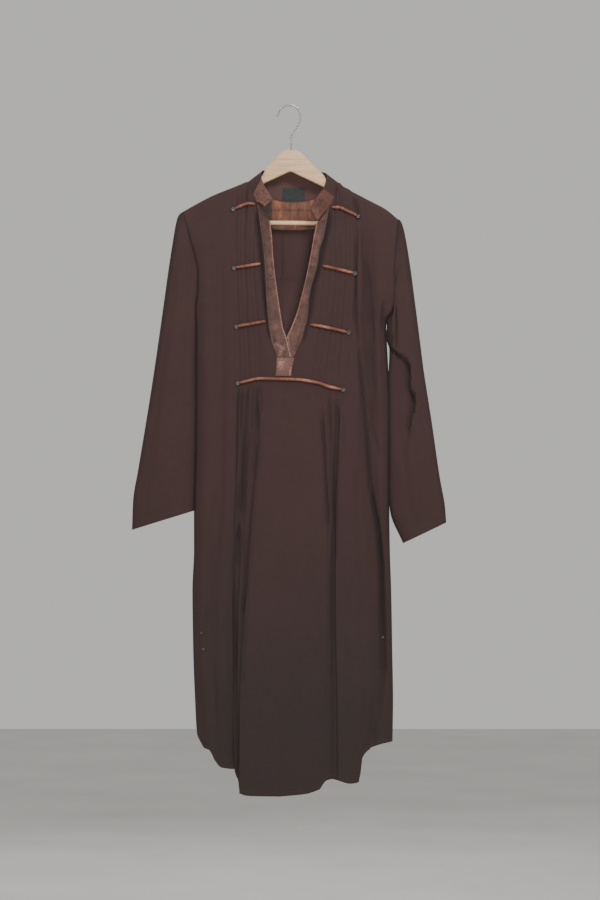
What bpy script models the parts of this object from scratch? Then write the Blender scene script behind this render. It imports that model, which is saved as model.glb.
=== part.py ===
# A long kurti on a wooden hanger, hung by its hook.
# Metres, +Z up, front towards -Y. The origin is the underside of the hook's crown.
# The tables are in millimetres: drop is the distance below the origin, x is across,
# and forward is the distance in front of the plane of the side seams.

import math

import bmesh
import bpy
import numpy as np
from mathutils import Vector
from mathutils.bvhtree import BVHTree

MM = 0.001

# Cloth and trim
CLOTH = 1.2
LEATHER = 1.6
COLLAR_WALL = 1.8
LABEL_WALL = 0.8
SEAM_GAP = 0.3
LAY_GAP = 0.35
PIPING_RADIUS = 2.8
PIPING_STEP = 7.5
STUD_RADIUS = 4.2
STUD_HEIGHT = 2.4
SLIT_STUD_RADIUS = 2.6
SEAT_TRIES = 24
STUD_GAP = 0.5
FACING_GAP = 0.6

# How the cloth lies over the hanger's arms
SHOULDER_ROUND = 9.0
TUCK_HEIGHT = 1.6

# Hanger
WOOD_HALF = 6.5
WOOD_BEVEL = 3.0
WOOD_BELOW_CLOTH = 3.4
BAR_RADIUS = 4.25
WIRE_RADIUS = 1.9

# Rows of the front and back, from the shoulder line down.
# The first ones are shares of the way from the shoulder line to the first level row.
TOP_SHARES = (0.0, 0.015, 0.05, 0.1, 0.25, 0.55)
LEVEL_DROPS = (252, 300, 350, "underarm", 436, 455, 473.5, 491, 509, 526, 553,
               609, 684, 769, 853, 948, 1050)
BACK_DROPS = (252, 300, 350, "underarm", 470, 560, 670, 790, 920, 1050)
HEM_SHARES = (0.33, 0.67, 1.0)
UNDERARM = {-1: 391.0, 1: 404.0}
TIP_DROP = 436
BAND_END_DROP = 473.5
TAB_DROPS = (473.5, 509)

# Shares of the way across each zone of a half front: side seam to fold line,
# fold line to tucks, tucks to V band, V band to V edge.
ZONE_SHARES = (
    (0.0, 0.03, 0.1, 0.25, 0.5, 0.75),
    (0.0, 0.28, 0.37, 0.65),
    tuple(k / 12 for k in range(12)),
    (0.0, 0.25, 0.5, 0.75, 1.0),
)
NECK_SHARE = 5 / 12

# Lines down the front, left half then right half as seen from the front: (drop, x)
LINES = {
    -1: {
        "edge": ((198, -202), (216, -198.5), (253, -189), (286, -180), (312, -175.6),
                 (344, -175.6), (370, -179), (391, -182.2), (421, -181), (515, -180.5),
                 (628, -180.5), (761, -182.5), (835, -182.5), (910, -185.5),
                 (1023, -184), (1117, -180.5), (1173, -177.5), (1201, -173)),
        "fold": ((172, -154), (252, -148.5), (421, -143), (628, -137), (761, -139),
                 (850, -150), (966, -152), (1117, -147), (1220, -143)),
        "tuck": ((154, -111), (197, -109.5), (252, -107), (308, -104), (421, -100.5),
                 (521, -98.5), (628, -99), (761, -103.5), (850, -107), (966, -110),
                 (1117, -107), (1258, -102.5)),
        "band": ((180, -65), (212, -64), (235, -58), (274, -52.5), (384, -45.5),
                 (421, -41.5), (450, -35.5), (473.5, -27.5), (509, -29), (526, -39.5),
                 (553, -51.5), (628, -61), (739, -72), (850, -81), (938, -85.5),
                 (1026, -92), (1160, -95.5), (1284, -96.5)),
        "vee": ((220, -38.5), (243, -35.5), (274, -34), (384, -20.5), (421, -14),
                (436, -8.5), (455, -4), (473.5, 0.5), (491, -3), (509, -7.5),
                (553, -7.5), (628, -8.5), (850, -13), (1026, -17), (1295, -21)),
    },
    1: {
        "edge": ((212, 200), (229, 203), (271, 203), (308, 201), (344, 198), (370, 193),
                 (387, 186), (404, 179.8), (421, 179), (449, 180.5), (496, 183),
                 (553, 185.5), (628, 186), (761, 185), (835, 186), (910, 188.5),
                 (1023, 190.5), (1117, 192), (1194, 191)),
        "fold": ((161, 114.5), (205, 133.5), (252, 138), (421, 145), (628, 147.5),
                 (739, 154), (805, 163.5), (850, 168), (996, 173), (1049, 174),
                 (1117, 163.5), (1196, 151)),
        "tuck": ((152, 99.5), (186, 118.5), (209, 125), (252, 122), (318, 119),
                 (427, 107.5), (534, 98.5), (628, 90), (761, 84.5), (895, 84),
                 (983, 84.5), (1072, 86.5), (1205, 88.5), (1267, 88.5)),
        "band": ((190, 73), (216, 67.5), (243, 64), (274, 53.5), (293, 51.5),
                 (365, 34), (399, 32), (421, 25.5), (440, 21.5), (457, 13),
                 (473.5, 6.5), (509, 1), (526, 22.5), (553, 45), (628, 56.5),
                 (739, 64), (805, 67.5), (895, 67.5), (983, 66), (1072, 62),
                 (1205, 56.5), (1284, 54)),
        "vee": ((226, 46), (243, 42.5), (274, 37.5), (384, 12), (421, -2), (436, -8.5),
                (455, -4), (473.5, 0.5), (491, -3), (509, -7.5), (553, -7.5),
                (628, -8.5), (850, -13), (1026, -17), (1295, -21)),
    },
}

# The front's top edge, zone by zone: (share, x, drop)
TOPS = {
    -1: (
        ((0, -202, 198.3), (0.5, -178.5, 185), (1, -154, 172)),
        ((0, -154, 172), (0.5, -132.5, 162.5), (1, -111, 154.2)),
        ((0, -111, 154.2), (0.2, -96, 148), (NECK_SHARE, -82, 142.9),
         (0.62, -74.5, 158), (1, -65, 180.5)),
        ((0, -65, 180.5), (0.45, -53.5, 198.5), (1, -38.5, 220)),
    ),
    1: (
        ((0, 200, 212.4), (0.25, 178.5, 194.6), (0.55, 152, 180.5), (1, 114.5, 161)),
        ((0, 114.5, 161), (0.37, 109, 156.8), (1, 99.5, 152.3)),
        ((0, 99.5, 152.3), (NECK_SHARE, 89.3, 143.8), (0.62, 85.5, 161),
         (0.8, 80, 175), (1, 73, 190)),
        ((0, 73, 190), (0.45, 61, 207), (1, 46, 226)),
    ),
}

# The front's hem, zone by zone: (share, drop)
HEMS = {
    -1: (
        ((0, 1184), (0.33, 1205), (0.66, 1209), (1, 1228)),
        ((0, 1228), (0.3, 1241), (1, 1244)),
        ((0, 1244), (0.3, 1258), (0.5, 1266), (0.75, 1279), (1, 1289)),
        ((0, 1289), (0.2, 1293.5), (1, 1294.5)),
    ),
    1: (
        ((0, 1194), (0.5, 1197.5), (1, 1204)),
        ((0, 1204), (0.28, 1224), (0.37, 1268), (0.65, 1271), (1, 1265)),
        ((0, 1265), (0.5, 1262), (0.75, 1268), (1, 1281)),
        ((0, 1281), (0.3, 1289), (1, 1294.5)),
    ),
}

# How far the front's edge stands forward round the armhole: (drop, forward)
ARM_FORWARD = {
    -1: ((252, 14), (300, 16), (350, 12.5), (391, SEAM_GAP / 2)),
    1: ((252, 12), (300, 16), (350, 14), (404, SEAM_GAP / 2)),
}
# How far the middle of the front and of the back stands from the seams: (drop, forward)
FRONT_FORWARD = ((252, 28), (340, 31), (436, 32), (526, 33), (700, 36), (950, 39), (1295, 41))
BACK_BEHIND = ((252, 24), (436, 25), (800, 27), (1295, 29))
LENS_POWER = 2.4

# The two deep folds released below the long piping, and the fine ones between them.
# (drop, how far the cloth is hidden behind the middle panel, how far it falls back, ripple)
RELEASED = {
    -1: ((526, 0, 0, 0), (609, 2, 8, 3.2), (700, 4, 14, 3.6), (853, 8, 20, 1.6),
         (1050, 14, 24, 0), (1295, 22, 26, 0)),
    1: ((526, 0, 0, 0), (609, 0, 8, 2.6), (700, 0, 15, 2.6), (853, 0, 20, 1.2),
        (1050, 2, 22, 0), (1295, 8, 22, 0)),
}
# Their form from the tucks' line to the middle panel: (share, hidden, falls back)
FOLD_FORM = {
    -1: ((0, 0, 0), (0.2, 0.1, 0.7), (0.4, 0.5, 1), (0.62, 1.1, 0.85), (0.82, 0.8, 0.45), (1, 0, 0)),
    1: ((0, 0, 0), (0.15, 0, 0.85), (0.3, 0, 1), (0.55, 0.5, 0.72), (0.8, 0.8, 0.3), (1, 0, 0)),
}
# The fold line between armhole and tucks: (drop, depth)
SIDE_FOLD = {
    -1: ((190, 0), (300, 1.5), (700, 3), (900, 4), (1200, 2)),
    1: ((165, 2), (205, 7), (420, 9), (800, 10), (1049, 9), (1200, 6)),
}
WAVES_BETWEEN = 3

# Back: neck, hem and soft folds
BACK_NECK_DEEP = 36.0
BACK_NECK_BEHIND = 26.0
BACK_ZONE_SHARES = (0.0, 0.03, 0.1, 0.25, 0.5, 0.75)
BACK_NECK_SHARES = (0.0, 0.035, 0.1, 0.2, 0.3, 0.4, 0.5, 0.6, 0.7, 0.8, 0.9, 0.965, 1.0)
BACK_HEM = ((0, 1188), (0.1, 1205), (0.22, 1230), (0.35, 1252), (0.55, 1272), (1, 1286))
BACK_FOLDS = ((-118, 17, 5.5), (-46, 20, 4.5), (6, 9, 3.0), (64, 20, 5.0), (131, 16, 6.0))
BACK_NECK_X = {-1: -83.0, 1: 90.0}

# Sleeves: the outer and inner ends of each ring, and its half depth
SLEEVE_RINGS = {
    -1: (  # outer x, outer drop, inner x, inner drop, half depth
        (-207.5, 201.5, -183.4, 395, 16), (-212.5, 208, -183.2, 402, 17),
        (-216.5, 222, -182.8, 411, 19), (-222, 253, -182.4, 425, 21),
        (-231, 312, -182.2, 450, 23), (-243, 398, -181.9, 490, 24),
        (-258, 502, -181.7, 545, 24), (-274, 603, -181.8, 610, 23),
        (-287.5, 684, -182.4, 672, 21), (-297, 742, -183.3, 722, 19),
        (-299, 797, -184.2, 761, 17),
    ),
    1: (
        (205, 214.5, 181.6, 409, 16), (209, 222, 182, 417, 17),
        (212.5, 234, 183, 427, 19), (217, 256, 184.5, 442, 21),
        (226, 314, 186.2, 468, 23), (231.5, 356, 186.8, 489, 24),
        (237, 398, 186.6, 510, 24), (243.5, 449, 186.6, 538, 24),
        (250, 500, 187, 566, 24), (258, 551, 187.2, 600, 23.5),
        (266, 603, 187.4, 634, 23), (279.5, 696, 187.2, 704, 21),
        (289.5, 752, 193, 764, 19), (292, 783, 217, 822, 16),
    ),
}
# Rings and points round each sleeve for one ring and one point of the tables
SLEEVE_FINER = {-1: (1, 1), 1: (2, 2)}
SLEEVE_BLEND = (0.15, 0.3, 0.5, 0.7, 0.9, 1.0)
# The right sleeve's twist: where the upper cloth's edge lies over the lower, (drop, x)
TWIST_EDGE = ((446, 180.5), (462, 194.5), (473, 208), (481, 219), (493, 225), (528, 225),
              (552, 234.5), (571, 233), (590, 227.5), (612, 223), (660, 214))
TWIST_SHARE = 0.45
TWIST_SOFT = 16.0

# The collar's free front ends, (x, forward, drop), before its edge meets the neckline
COLLAR_FREE = {
    -1: ((-49, 29, 191), (-57.5, 25.5, 184)),
    1: ((49.5, 31, 217.5), (62, 27.5, 202.5)),
}
# Its top edge from the front end to the side of the neck: (share, x, forward, drop)
COLLAR_TOP = {
    -1: ((0, -33.8, 34, 178.5), (0.2, -42, 31, 165), (0.38, -50, 26.5, 152),
         (0.62, -56.4, 15, 133.5), (0.85, -55, 6, 124), (1, -52.6, 0, 121)),
    1: ((0, 36.5, 36, 195.5), (0.2, 43.5, 34, 182.5), (0.38, 51, 30, 169),
        (0.62, 63, 20, 152), (0.85, 67, 9, 134), (1, 64, 0, 125.5)),
}
COLLAR_LEATHER_POINTS = 6
COLLAR_RISE = 0.7
COLLAR_SIDE_REACH = -0.04
COLLAR_TOP_BEHIND = 30.0
COLLAR_TOP_DROP = 117.5
LABEL_X = (-15.0, 25.4)
LABEL_RISE = (0.05, 0.44)

# Pipings and their studs, on the front: (name, stud x, stud drop, piping points)
PIPINGS = (
    ("left_1", -108.0, 195.5, ((-102.6, 193.2), (-90, 188), (-79, 185), (-69.5, 186))),
    ("left_2", -106.0, 306.5, ((-101.3, 305.3), (-80, 302), (-59, 298.5))),
    ("left_3", -102.0, 416.0, ((-97.3, 414.8), (-72, 410.5), (-49.5, 406.5))),
    ("right_1", 126.0, 208.0, ((121.4, 206), (105, 198.5), (90, 192.5), (78.5, 192))),
    ("right_2", 120.0, 316.5, ((115.3, 315.3), (87, 308.5), (60.5, 302.5))),
    ("right_3", 108.0, 427.0, ((103.3, 425.8), (78, 420), (60, 416), (38.5, 412.5))),
    ("long", -99.5, 521.5, ((-94.8, 520.7), (-54.5, 513.2), (-28, 514), (10, 515),
                            (51, 521.5), (70, 528), (93.7, 533.2))),
)
LONG_FAR_STUD = (98.5, 534.0)
SLIT_STUDS = (("left_1", -167.5, 989.5), ("left_2", -164.0, 1020.0), ("right_1", 173.0, 998.5))

# Hanger outline left and right of the middle, below the arms: (x, drop)
WOOD_NECK = ((5.6, 82.7), (11, 83.6), (19, 87.5))
WOOD_SLOPE = {-1: ((-47.5, 119), (-52, 127.5), (-58, 136), (-67, 147), (-77, 154)),
              1: ((63.5, 132), (68, 144), (78, 152), (84, 155))}
WOOD_LOWER = {
    -1: ((-172, 227.5), (-163.6, 225), (-163.6, 211.5), (-146.5, 202), (-111, 183),
         (-77, 164.5), (-51, 146.5)),
    1: ((176, 231), (167.4, 228.5), (167.4, 215), (152, 206), (115, 184.5),
        (92, 171.5), (61.5, 153.5)),
}
WOOD_END = {-1: ((-190.5, 199), (-192, 208), (-186, 221)), 1: ((187, 204.8), (189.5, 213), (186, 225))}
WOOD_APEX = (-1, 123.2)
BAR_ENDS = ((-163.3, 218.5), (167.1, 222.0))
HOOK = ((0, 82.3), (0, 58), (3.5, 49.5), (10.5, 39.5), (16, 29), (17.3, 17), (12, 4.5),
        (0, -1.9), (-12, 0.5), (-21, 8), (-26, 18.5))


def smooth(xs, ys, at):
    """Values on a smooth curve through the points, which never overshoots them."""
    xs, ys = np.asarray(xs, float), np.asarray(ys, float)
    at = np.clip(np.asarray(at, float), xs[0], xs[-1])
    step = np.diff(xs)
    slope = np.diff(ys) / step
    turn = np.zeros(len(xs))
    for k in range(1, len(xs) - 1):
        if slope[k - 1] * slope[k] > 0:
            before = 2 * step[k] + step[k - 1]
            after = step[k] + 2 * step[k - 1]
            turn[k] = (before + after) / (before / slope[k - 1] + after / slope[k])
    turn[0], turn[-1] = slope[0], slope[-1]
    k = np.clip(np.searchsorted(xs, at, "right") - 1, 0, len(xs) - 2)
    t = (at - xs[k]) / step[k]
    rise = (3 - 2 * t) * t * t
    start = t * (1 - t) ** 2 * step[k] * turn[k]
    end = -t * t * (1 - t) * step[k] * turn[k + 1]
    return ys[k] + (ys[k + 1] - ys[k]) * rise + start + end


def column(table, number, at):
    """One named column of a table, read off smoothly at its first column's values."""
    return smooth([row[0] for row in table], [row[number] for row in table], at)


def ease(low, high, value):
    t = np.clip((value - low) / (high - low), 0, 1)
    return t * t * (3 - 2 * t)


def material(name, colour, roughness, metallic=0.0):
    made = bpy.data.materials.new(name)
    made.use_nodes = True
    shader = made.node_tree.nodes["Principled BSDF"]
    shader.inputs["Base Color"].default_value = (*colour, 1.0)
    shader.inputs["Roughness"].default_value = roughness
    shader.inputs["Metallic"].default_value = metallic
    return made


def make_object(name, points, faces, finish, smooth_shade=True):
    """An object from points in millimetres, with its faces turned to point out."""
    mesh = bpy.data.meshes.new(name)
    mesh.from_pydata([tuple(float(v) * MM for v in p) for p in points], [], faces)
    work = bmesh.new()
    work.from_mesh(mesh)
    bmesh.ops.recalc_face_normals(work, faces=work.faces)
    work.to_mesh(mesh)
    work.free()
    if smooth_shade:
        mesh.shade_smooth()
        mesh.set_sharp_from_angle(angle=math.radians(50))
    mesh.materials.append(finish)
    made = bpy.data.objects.new(name, mesh)
    bpy.context.scene.collection.objects.link(made)
    return made


def point_normals(points, quads):
    """The mean direction of the faces round each point."""
    points = np.asarray(points, float)
    quads = np.asarray(quads)
    first = points[quads[:, 2]] - points[quads[:, 0]]
    second = points[quads[:, 3]] - points[quads[:, 1]]
    facing = np.cross(first, second)
    normals = np.zeros_like(points)
    for corner in range(4):
        np.add.at(normals, quads[:, corner], facing)
    return normals / np.linalg.norm(normals, axis=1, keepdims=True)


def keep_in_plane(normals, members, axis):
    """Turns the normals of these points into the plane across one axis."""
    members = np.asarray(sorted(set(members)))
    normals[members, axis] = 0
    normals[members] /= np.linalg.norm(normals[members], axis=1, keepdims=True)


def wall(name, outer, inner, quads, finish):
    """A closed wall between two sheets of points that share their quads."""
    count = len(outer)
    faces = []
    for quad in quads:
        a, b, c, d = (int(i) for i in quad)
        faces += [(a, b, c), (a, c, d)]
    edges = {(f[k], f[(k + 1) % 3]) for f in faces for k in range(3)}
    faces += [tuple(count + i for i in reversed(f)) for f in faces]
    for a, b in sorted(edges):
        if (b, a) not in edges:
            faces.append((b, a, count + a, count + b))
    return make_object(name, list(outer) + list(inner), faces, finish)


def grid_quads(numbers, flip=False, closed=False):
    """Quads over a table of point numbers, rows down and columns across."""
    rows, columns = numbers.shape
    quads = []
    for r in range(rows - 1):
        for c in range(columns if closed else columns - 1):
            d = (c + 1) % columns
            a, b = numbers[r, c], numbers[r + 1, c]
            e, f = numbers[r + 1, d], numbers[r, d]
            quads.append((a, f, e, b) if flip else (a, b, e, f))
    return quads


def level_rows(side, drops):
    """The level rows' drops on one side: the underarm row differs between the sides."""
    return [UNDERARM[side] if drop == "underarm" else drop for drop in drops]


def front_half(side):
    """Points (rows, columns, 3) of one half front, from its side seam to the V edge,
    and how far each is raised by the tucks. Forward is negative y."""
    lines, tops, hems = LINES[side], TOPS[side], HEMS[side]
    names = ("edge", "fold", "tuck", "band", "vee")
    levels = level_rows(side, LEVEL_DROPS)
    middle = column(lines["vee"], 1, levels[-1])
    columns, tuck_rises = [], []
    for zone, shares in enumerate(ZONE_SHARES):
        for share in shares:
            top_x = column(tops[zone], 1, share)
            top_drop = column(tops[zone], 2, share)
            hem_drop = column(hems[zone], 1, share)
            drops = list(levels)
            drops += [levels[-1] + (hem_drop - levels[-1]) * f for f in HEM_SHARES]
            start = column(lines[names[zone]], 1, drops)
            end = column(lines[names[zone + 1]], 1, drops)
            across = start + (end - start) * share
            edge = column(lines["edge"], 1, drops)
            inwards = np.clip((across - edge) / (middle - edge), 0, 1)
            forward = front_depth(side, drops, inwards)
            across, forward, ripple = add_folds(side, zone, share, drops, across, forward)
            rest = ease_top(zone, share)
            top = []
            for f in TOP_SHARES:
                drop = top_drop + (levels[0] - top_drop) * f
                turn = min((drop - top_drop) / SHOULDER_ROUND, 1)
                bend = math.sqrt(1 - (1 - turn) ** 2)
                held = rest[1] * bend
                depth = rest[0] + held + (forward[0] - rest[0] - rest[1]) * f
                top.append((top_x + (across[0] - top_x) * f, -depth, -drop))
            level = [(x, -y, -d) for x, y, d in zip(across, forward, drops)]
            columns.append(top + level)
            tuck_rises.append(tuck_rise(zone, share, drops))
    return np.array(columns, float).transpose(1, 0, 2), np.array(tuck_rises).T


def front_depth(side, drops, inwards):
    """How far the plain front stands forward, from its edge to its middle."""
    edge = column(ARM_FORWARD[side], 1, drops)
    edge = np.where(np.array(drops) >= UNDERARM[side], SEAM_GAP / 2, edge)
    middle = column(FRONT_FORWARD, 1, drops)
    lens = (1 - (1 - inwards) ** LENS_POWER) ** (1 / LENS_POWER)
    return edge + (middle - edge) * lens


def add_folds(side, zone, share, drops, across, forward):
    """Moves a column of the front into the side fold and the released folds."""
    depth = column(SIDE_FOLD[side], 1, drops)
    if zone == 0:
        forward = forward - depth * ease(0.45, 1, share)
    if zone == 1:
        forward = forward - depth * (1 - ease(0, 0.5, share))
    ripple = 0
    if zone == 2:
        table, form = RELEASED[side], FOLD_FORM[side]
        hidden = column(table, 1, drops) * column(form, 1, share)
        back = column(table, 2, drops) * column(form, 2, share)
        ripple = column(table, 3, drops) * math.sin(WAVES_BETWEEN * math.pi * share) ** 2
        across = across - side * hidden
        forward = forward - back - ripple
    return across, forward, ripple


def ease_top(zone, share):
    """How far forward the top edge starts, and how much of the shoulder's rounding it has."""
    if zone < 2:
        return SEAM_GAP / 2, SHOULDER_ROUND
    if zone == 2:
        starts = smooth((0, NECK_SHARE, 0.51, 0.64, 1),
                        (SEAM_GAP / 2, SEAM_GAP / 2, 7.5, 12, 20), share)
        return float(starts), SHOULDER_ROUND * float(1 - ease(NECK_SHARE, 0.8, share))
    return 20 + 8 * share, 0.0


def tuck_rise(zone, share, drops):
    """How far each row of a column is raised: every other column of the tucks is a ridge."""
    rows = len(TOP_SHARES) + len(drops)
    ridge = zone == 2 and round(share * 12) % 2 == 1
    if not ridge:
        return [0.0] * rows
    top = [TUCK_HEIGHT * min(1, f / 0.25) for f in TOP_SHARES]
    level = [TUCK_HEIGHT * float(1 - ease(505, 560, d)) for d in drops]
    return top + level


def front_panel(finish):
    """The front: two half grids that share their middle column below the V's tip."""
    left, left_rise = front_half(-1)
    right, right_rise = front_half(1)
    rows, columns = left.shape[:2]
    tip = len(TOP_SHARES) + LEVEL_DROPS.index(TIP_DROP)
    left_numbers = np.arange(rows * columns).reshape(rows, columns)
    right_numbers = left_numbers + rows * columns
    right_numbers[tip:, -1] = left_numbers[tip:, -1]
    points = np.concatenate([left.reshape(-1, 3), right.reshape(-1, 3)])
    rises = np.concatenate([left_rise.reshape(-1), right_rise.reshape(-1)])
    quads = grid_quads(left_numbers) + grid_quads(right_numbers, flip=True)
    used = sorted({i for quad in quads for i in quad})
    renumber = {old: new for new, old in enumerate(used)}
    quads = [tuple(renumber[i] for i in quad) for quad in quads]
    left_numbers = np.vectorize(renumber.get)(left_numbers)
    right_numbers = np.vectorize(renumber.get)(right_numbers)
    points, rises = points[used], rises[used]
    normals = point_normals(points, quads)
    first_level = len(TOP_SHARES)
    underarm = first_level + LEVEL_DROPS.index("underarm")
    neck = sum(len(shares) for shares in ZONE_SHARES[:2]) + round(NECK_SHARE * 12)
    for numbers in (left_numbers, right_numbers):
        keep_in_plane(normals, numbers[underarm:, 0], 1)
        keep_in_plane(normals, numbers[0, : neck + 1], 1)
        keep_in_plane(normals, numbers[1:underarm, 0], 0)
    outer = points + normals * rises[:, None]
    inner = points - normals * CLOTH
    wall("front_panel", outer, inner, quads, finish)
    return {
        "left": (points[left_numbers], normals[left_numbers]),
        "right": (points[right_numbers], normals[right_numbers]),
        "tree": BVHTree.FromPolygons([tuple(p) for p in outer], quads),
        "underarm": underarm,
    }


def shoulder_line(side, x):
    """The drop of the shoulder seam at x, from the armhole to the neck."""
    zones = TOPS[side]
    points = [row for zone in zones[:2] for row in zone[:-1]]
    points += [row for row in zones[2] if row[0] <= NECK_SHARE]
    xs = [side * row[1] for row in points][::-1]
    return float(smooth(xs, [row[2] for row in points][::-1], side * x))


def back_neck(share):
    """A point (x, behind, drop) of the back neck, from left to right."""
    arch = 1 - (2 * share - 1) ** 2
    ends = [TOPS[side][2] for side in (-1, 1)]
    (left_x, left_drop), (right_x, right_drop) = (
        next(row[1:] for row in end if row[0] == NECK_SHARE) for end in ends
    )
    x = left_x + (right_x - left_x) * share
    drop = left_drop + (right_drop - left_drop) * share + BACK_NECK_DEEP * arch ** 0.8
    return x, SEAM_GAP / 2 + BACK_NECK_BEHIND * arch ** 0.6, drop


def back_grid():
    """Points (rows, columns, 3) of the back, from left to right."""
    columns = []
    plan = [(-1, share) for share in BACK_ZONE_SHARES]
    plan += [(0, share) for share in BACK_NECK_SHARES]
    plan += [(1, share) for share in BACK_ZONE_SHARES[::-1]]
    for side, share in plan:
        level_x = {}
        for s in (-1, 1):
            level_x[s] = BACK_NECK_X[s]
        if side:
            tip_x = TOPS[side][0][0][1]
            neck_x = next(row[1] for row in TOPS[side][2] if row[0] == NECK_SHARE)
            top_x = tip_x + (neck_x - tip_x) * share
            top = (top_x, SEAM_GAP / 2, shoulder_line(side, top_x))
            rounding = SHOULDER_ROUND
        else:
            top = back_neck(share)
            rounding = SHOULDER_ROUND * max(0.0, 1 - top[1] / SHOULDER_ROUND)
        tilt = ease(-200, 200, top[0])
        levels = [UNDERARM[-1] + (UNDERARM[1] - UNDERARM[-1]) * tilt if d == "underarm" else d
                  for d in BACK_DROPS]
        if side:
            levels = level_rows(side, BACK_DROPS)
        edges = {s: column(LINES[s]["edge"], 1, levels[-1]) for s in (-1, 1)}
        guess = back_across(side, share, level_x, edges)
        reach = min(abs(guess - edges[s]) for s in (-1, 1)) / (edges[1] - edges[-1]) * 2
        hem = column(BACK_HEM, 1, reach)
        drops = np.array(levels + [levels[-1] + (hem - levels[-1]) * f for f in HEM_SHARES], float)
        side_lines = {s: column(LINES[s]["edge"], 1, drops) for s in (-1, 1)}
        across = back_across(side, share, level_x, side_lines)
        behind = back_depth(across, side_lines, drops)
        rows = []
        for f in TOP_SHARES:
            drop = top[2] + (levels[0] - top[2]) * f
            turn = min((drop - top[2]) / SHOULDER_ROUND, 1)
            held = rounding * math.sqrt(1 - (1 - turn) ** 2)
            depth = top[1] + held + (behind[0] - top[1] - rounding) * f
            rows.append((top[0] + (across[0] - top[0]) * f, depth, -drop))
        rows += [(x, y, -d) for x, y, d in zip(across, behind, drops)]
        columns.append(rows)
    return np.array(columns, float).transpose(1, 0, 2)


def back_across(side, share, neck_x, edges):
    if side:
        return edges[side] + (neck_x[side] - edges[side]) * share
    return neck_x[-1] + (neck_x[1] - neck_x[-1]) * share + 0 * edges[-1]


def back_depth(across, edges, drops):
    """How far the back stands behind the seams, with its soft folds."""
    middle = (edges[-1] + edges[1]) / 2
    half = (edges[1] - edges[-1]) / 2
    inwards = np.clip(1 - np.abs(across - middle) / half, 0, 1)
    lens = (1 - (1 - inwards) ** LENS_POWER) ** (1 / LENS_POWER)
    edge = np.zeros(len(drops))
    for side in (-1, 1):
        near = column(ARM_FORWARD[side], 1, drops)
        near = np.where(drops >= UNDERARM[side], SEAM_GAP / 2, near)
        edge = np.where(side * (across - middle) >= 0, near, edge)
    depth = edge + (column(BACK_BEHIND, 1, drops) - edge) * lens
    for x, width, deep in BACK_FOLDS:
        grown = ease(300, 1000, drops)
        depth = depth - deep * grown * np.exp(-(((across - x) / width) ** 2))
    return depth


def back_panel(finish):
    grid = back_grid()
    rows, columns = grid.shape[:2]
    numbers = np.arange(rows * columns).reshape(rows, columns)
    points = grid.reshape(-1, 3)
    quads = grid_quads(numbers, flip=True)
    normals = point_normals(points, quads)
    underarm = len(TOP_SHARES) + BACK_DROPS.index("underarm")
    shoulder = len(BACK_ZONE_SHARES)
    for end in (0, -1):
        keep_in_plane(normals, numbers[underarm:, end], 1)
        keep_in_plane(normals, numbers[1:underarm, end], 0)
    keep_in_plane(normals, numbers[0, : shoulder + 1], 1)
    keep_in_plane(normals, numbers[0, -shoulder - 1:], 1)
    wall("back_panel", points, points - normals * CLOTH, quads, finish)
    return grid, normals.reshape(rows, columns, 3)


def twist(across, drops):
    """The share of its depth that the right sleeve's front gives up below the twist's edge."""
    edge = column(TWIST_EDGE, 1, drops)
    under = 1 - ease(edge - TWIST_SOFT, edge + TWIST_SOFT, across)
    return TWIST_SHARE * under * ease(440, 500, drops) * (1 - ease(590, 690, drops))


def sleeve(name, side, front, back, finish):
    """A tube from the armhole's loop down to the open cuff."""
    ring_finer, round_finer = SLEEVE_FINER[side]
    ring = [(x + side * 2 * SEAM_GAP, y, z) for x, y, z in front]
    ring += [(x + side * 2 * SEAM_GAP, y, z) for x, y, z in back[-2:0:-1]]
    ring = np.array(ring)
    ring[:, 1] = np.where(np.abs(ring[:, 1]) < SEAM_GAP, 0, ring[:, 1])
    steps = np.arange(len(ring) * round_finer) / round_finer
    ring = np.stack([np.interp(steps, range(len(ring) + 1), np.append(ring[:, k], ring[0, k]))
                     for k in range(3)], axis=1)
    half = (len(front) - 1) * round_finer + 1
    top, low = ring[0], ring[half - 1]
    span = low - top
    along = (ring - top) @ span / (span @ span)
    aside = ring - top - along[:, None] * span
    even = np.array([(1 - math.cos(math.pi * k / (half - 1))) / 2 for k in range(half)])
    even = np.concatenate([even, even[-2:0:-1]])
    facing = np.sign(ring[:, 1])
    table = SLEEVE_RINGS[side]
    rings = [ring]
    for at in np.arange((len(table) - 1) * ring_finer + 1) / ring_finer:
        out_x, out_drop, in_x, in_drop, depth = (
            float(smooth(range(len(table)), [row[k] for row in table], at)) for k in range(5)
        )
        blend = float(np.interp(at, range(len(SLEEVE_BLEND)), SLEEVE_BLEND))
        start = np.array((out_x, 0, -out_drop))
        end = np.array((in_x, 0, -in_drop))
        share = along + (even - along) * blend
        round_depth = facing * depth * (1 - np.abs(2 * share - 1) ** 2.3) ** (1 / 2.3)
        made = start + share[:, None] * (end - start) + (1 - blend) * aside
        made[:, 1] = (1 - blend) * aside[:, 1] + blend * round_depth
        if side > 0:
            lies_back = np.where(made[:, 1] < 0, twist(made[:, 0], -made[:, 2]), 0)
            made[:, 1] *= 1 - lies_back
        rings.append(made)
    grid = np.array(rings)
    rows, columns = grid.shape[:2]
    numbers = np.arange(rows * columns).reshape(rows, columns)
    quads = grid_quads(numbers, flip=side > 0, closed=True)
    points = grid.reshape(-1, 3)
    normals = point_normals(points, quads)
    keep_in_plane(normals, numbers[0, 1:half - 1], 0)
    keep_in_plane(normals, numbers[0, half:], 0)
    return wall(name, points, points - normals * CLOTH, quads, finish)


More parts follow.
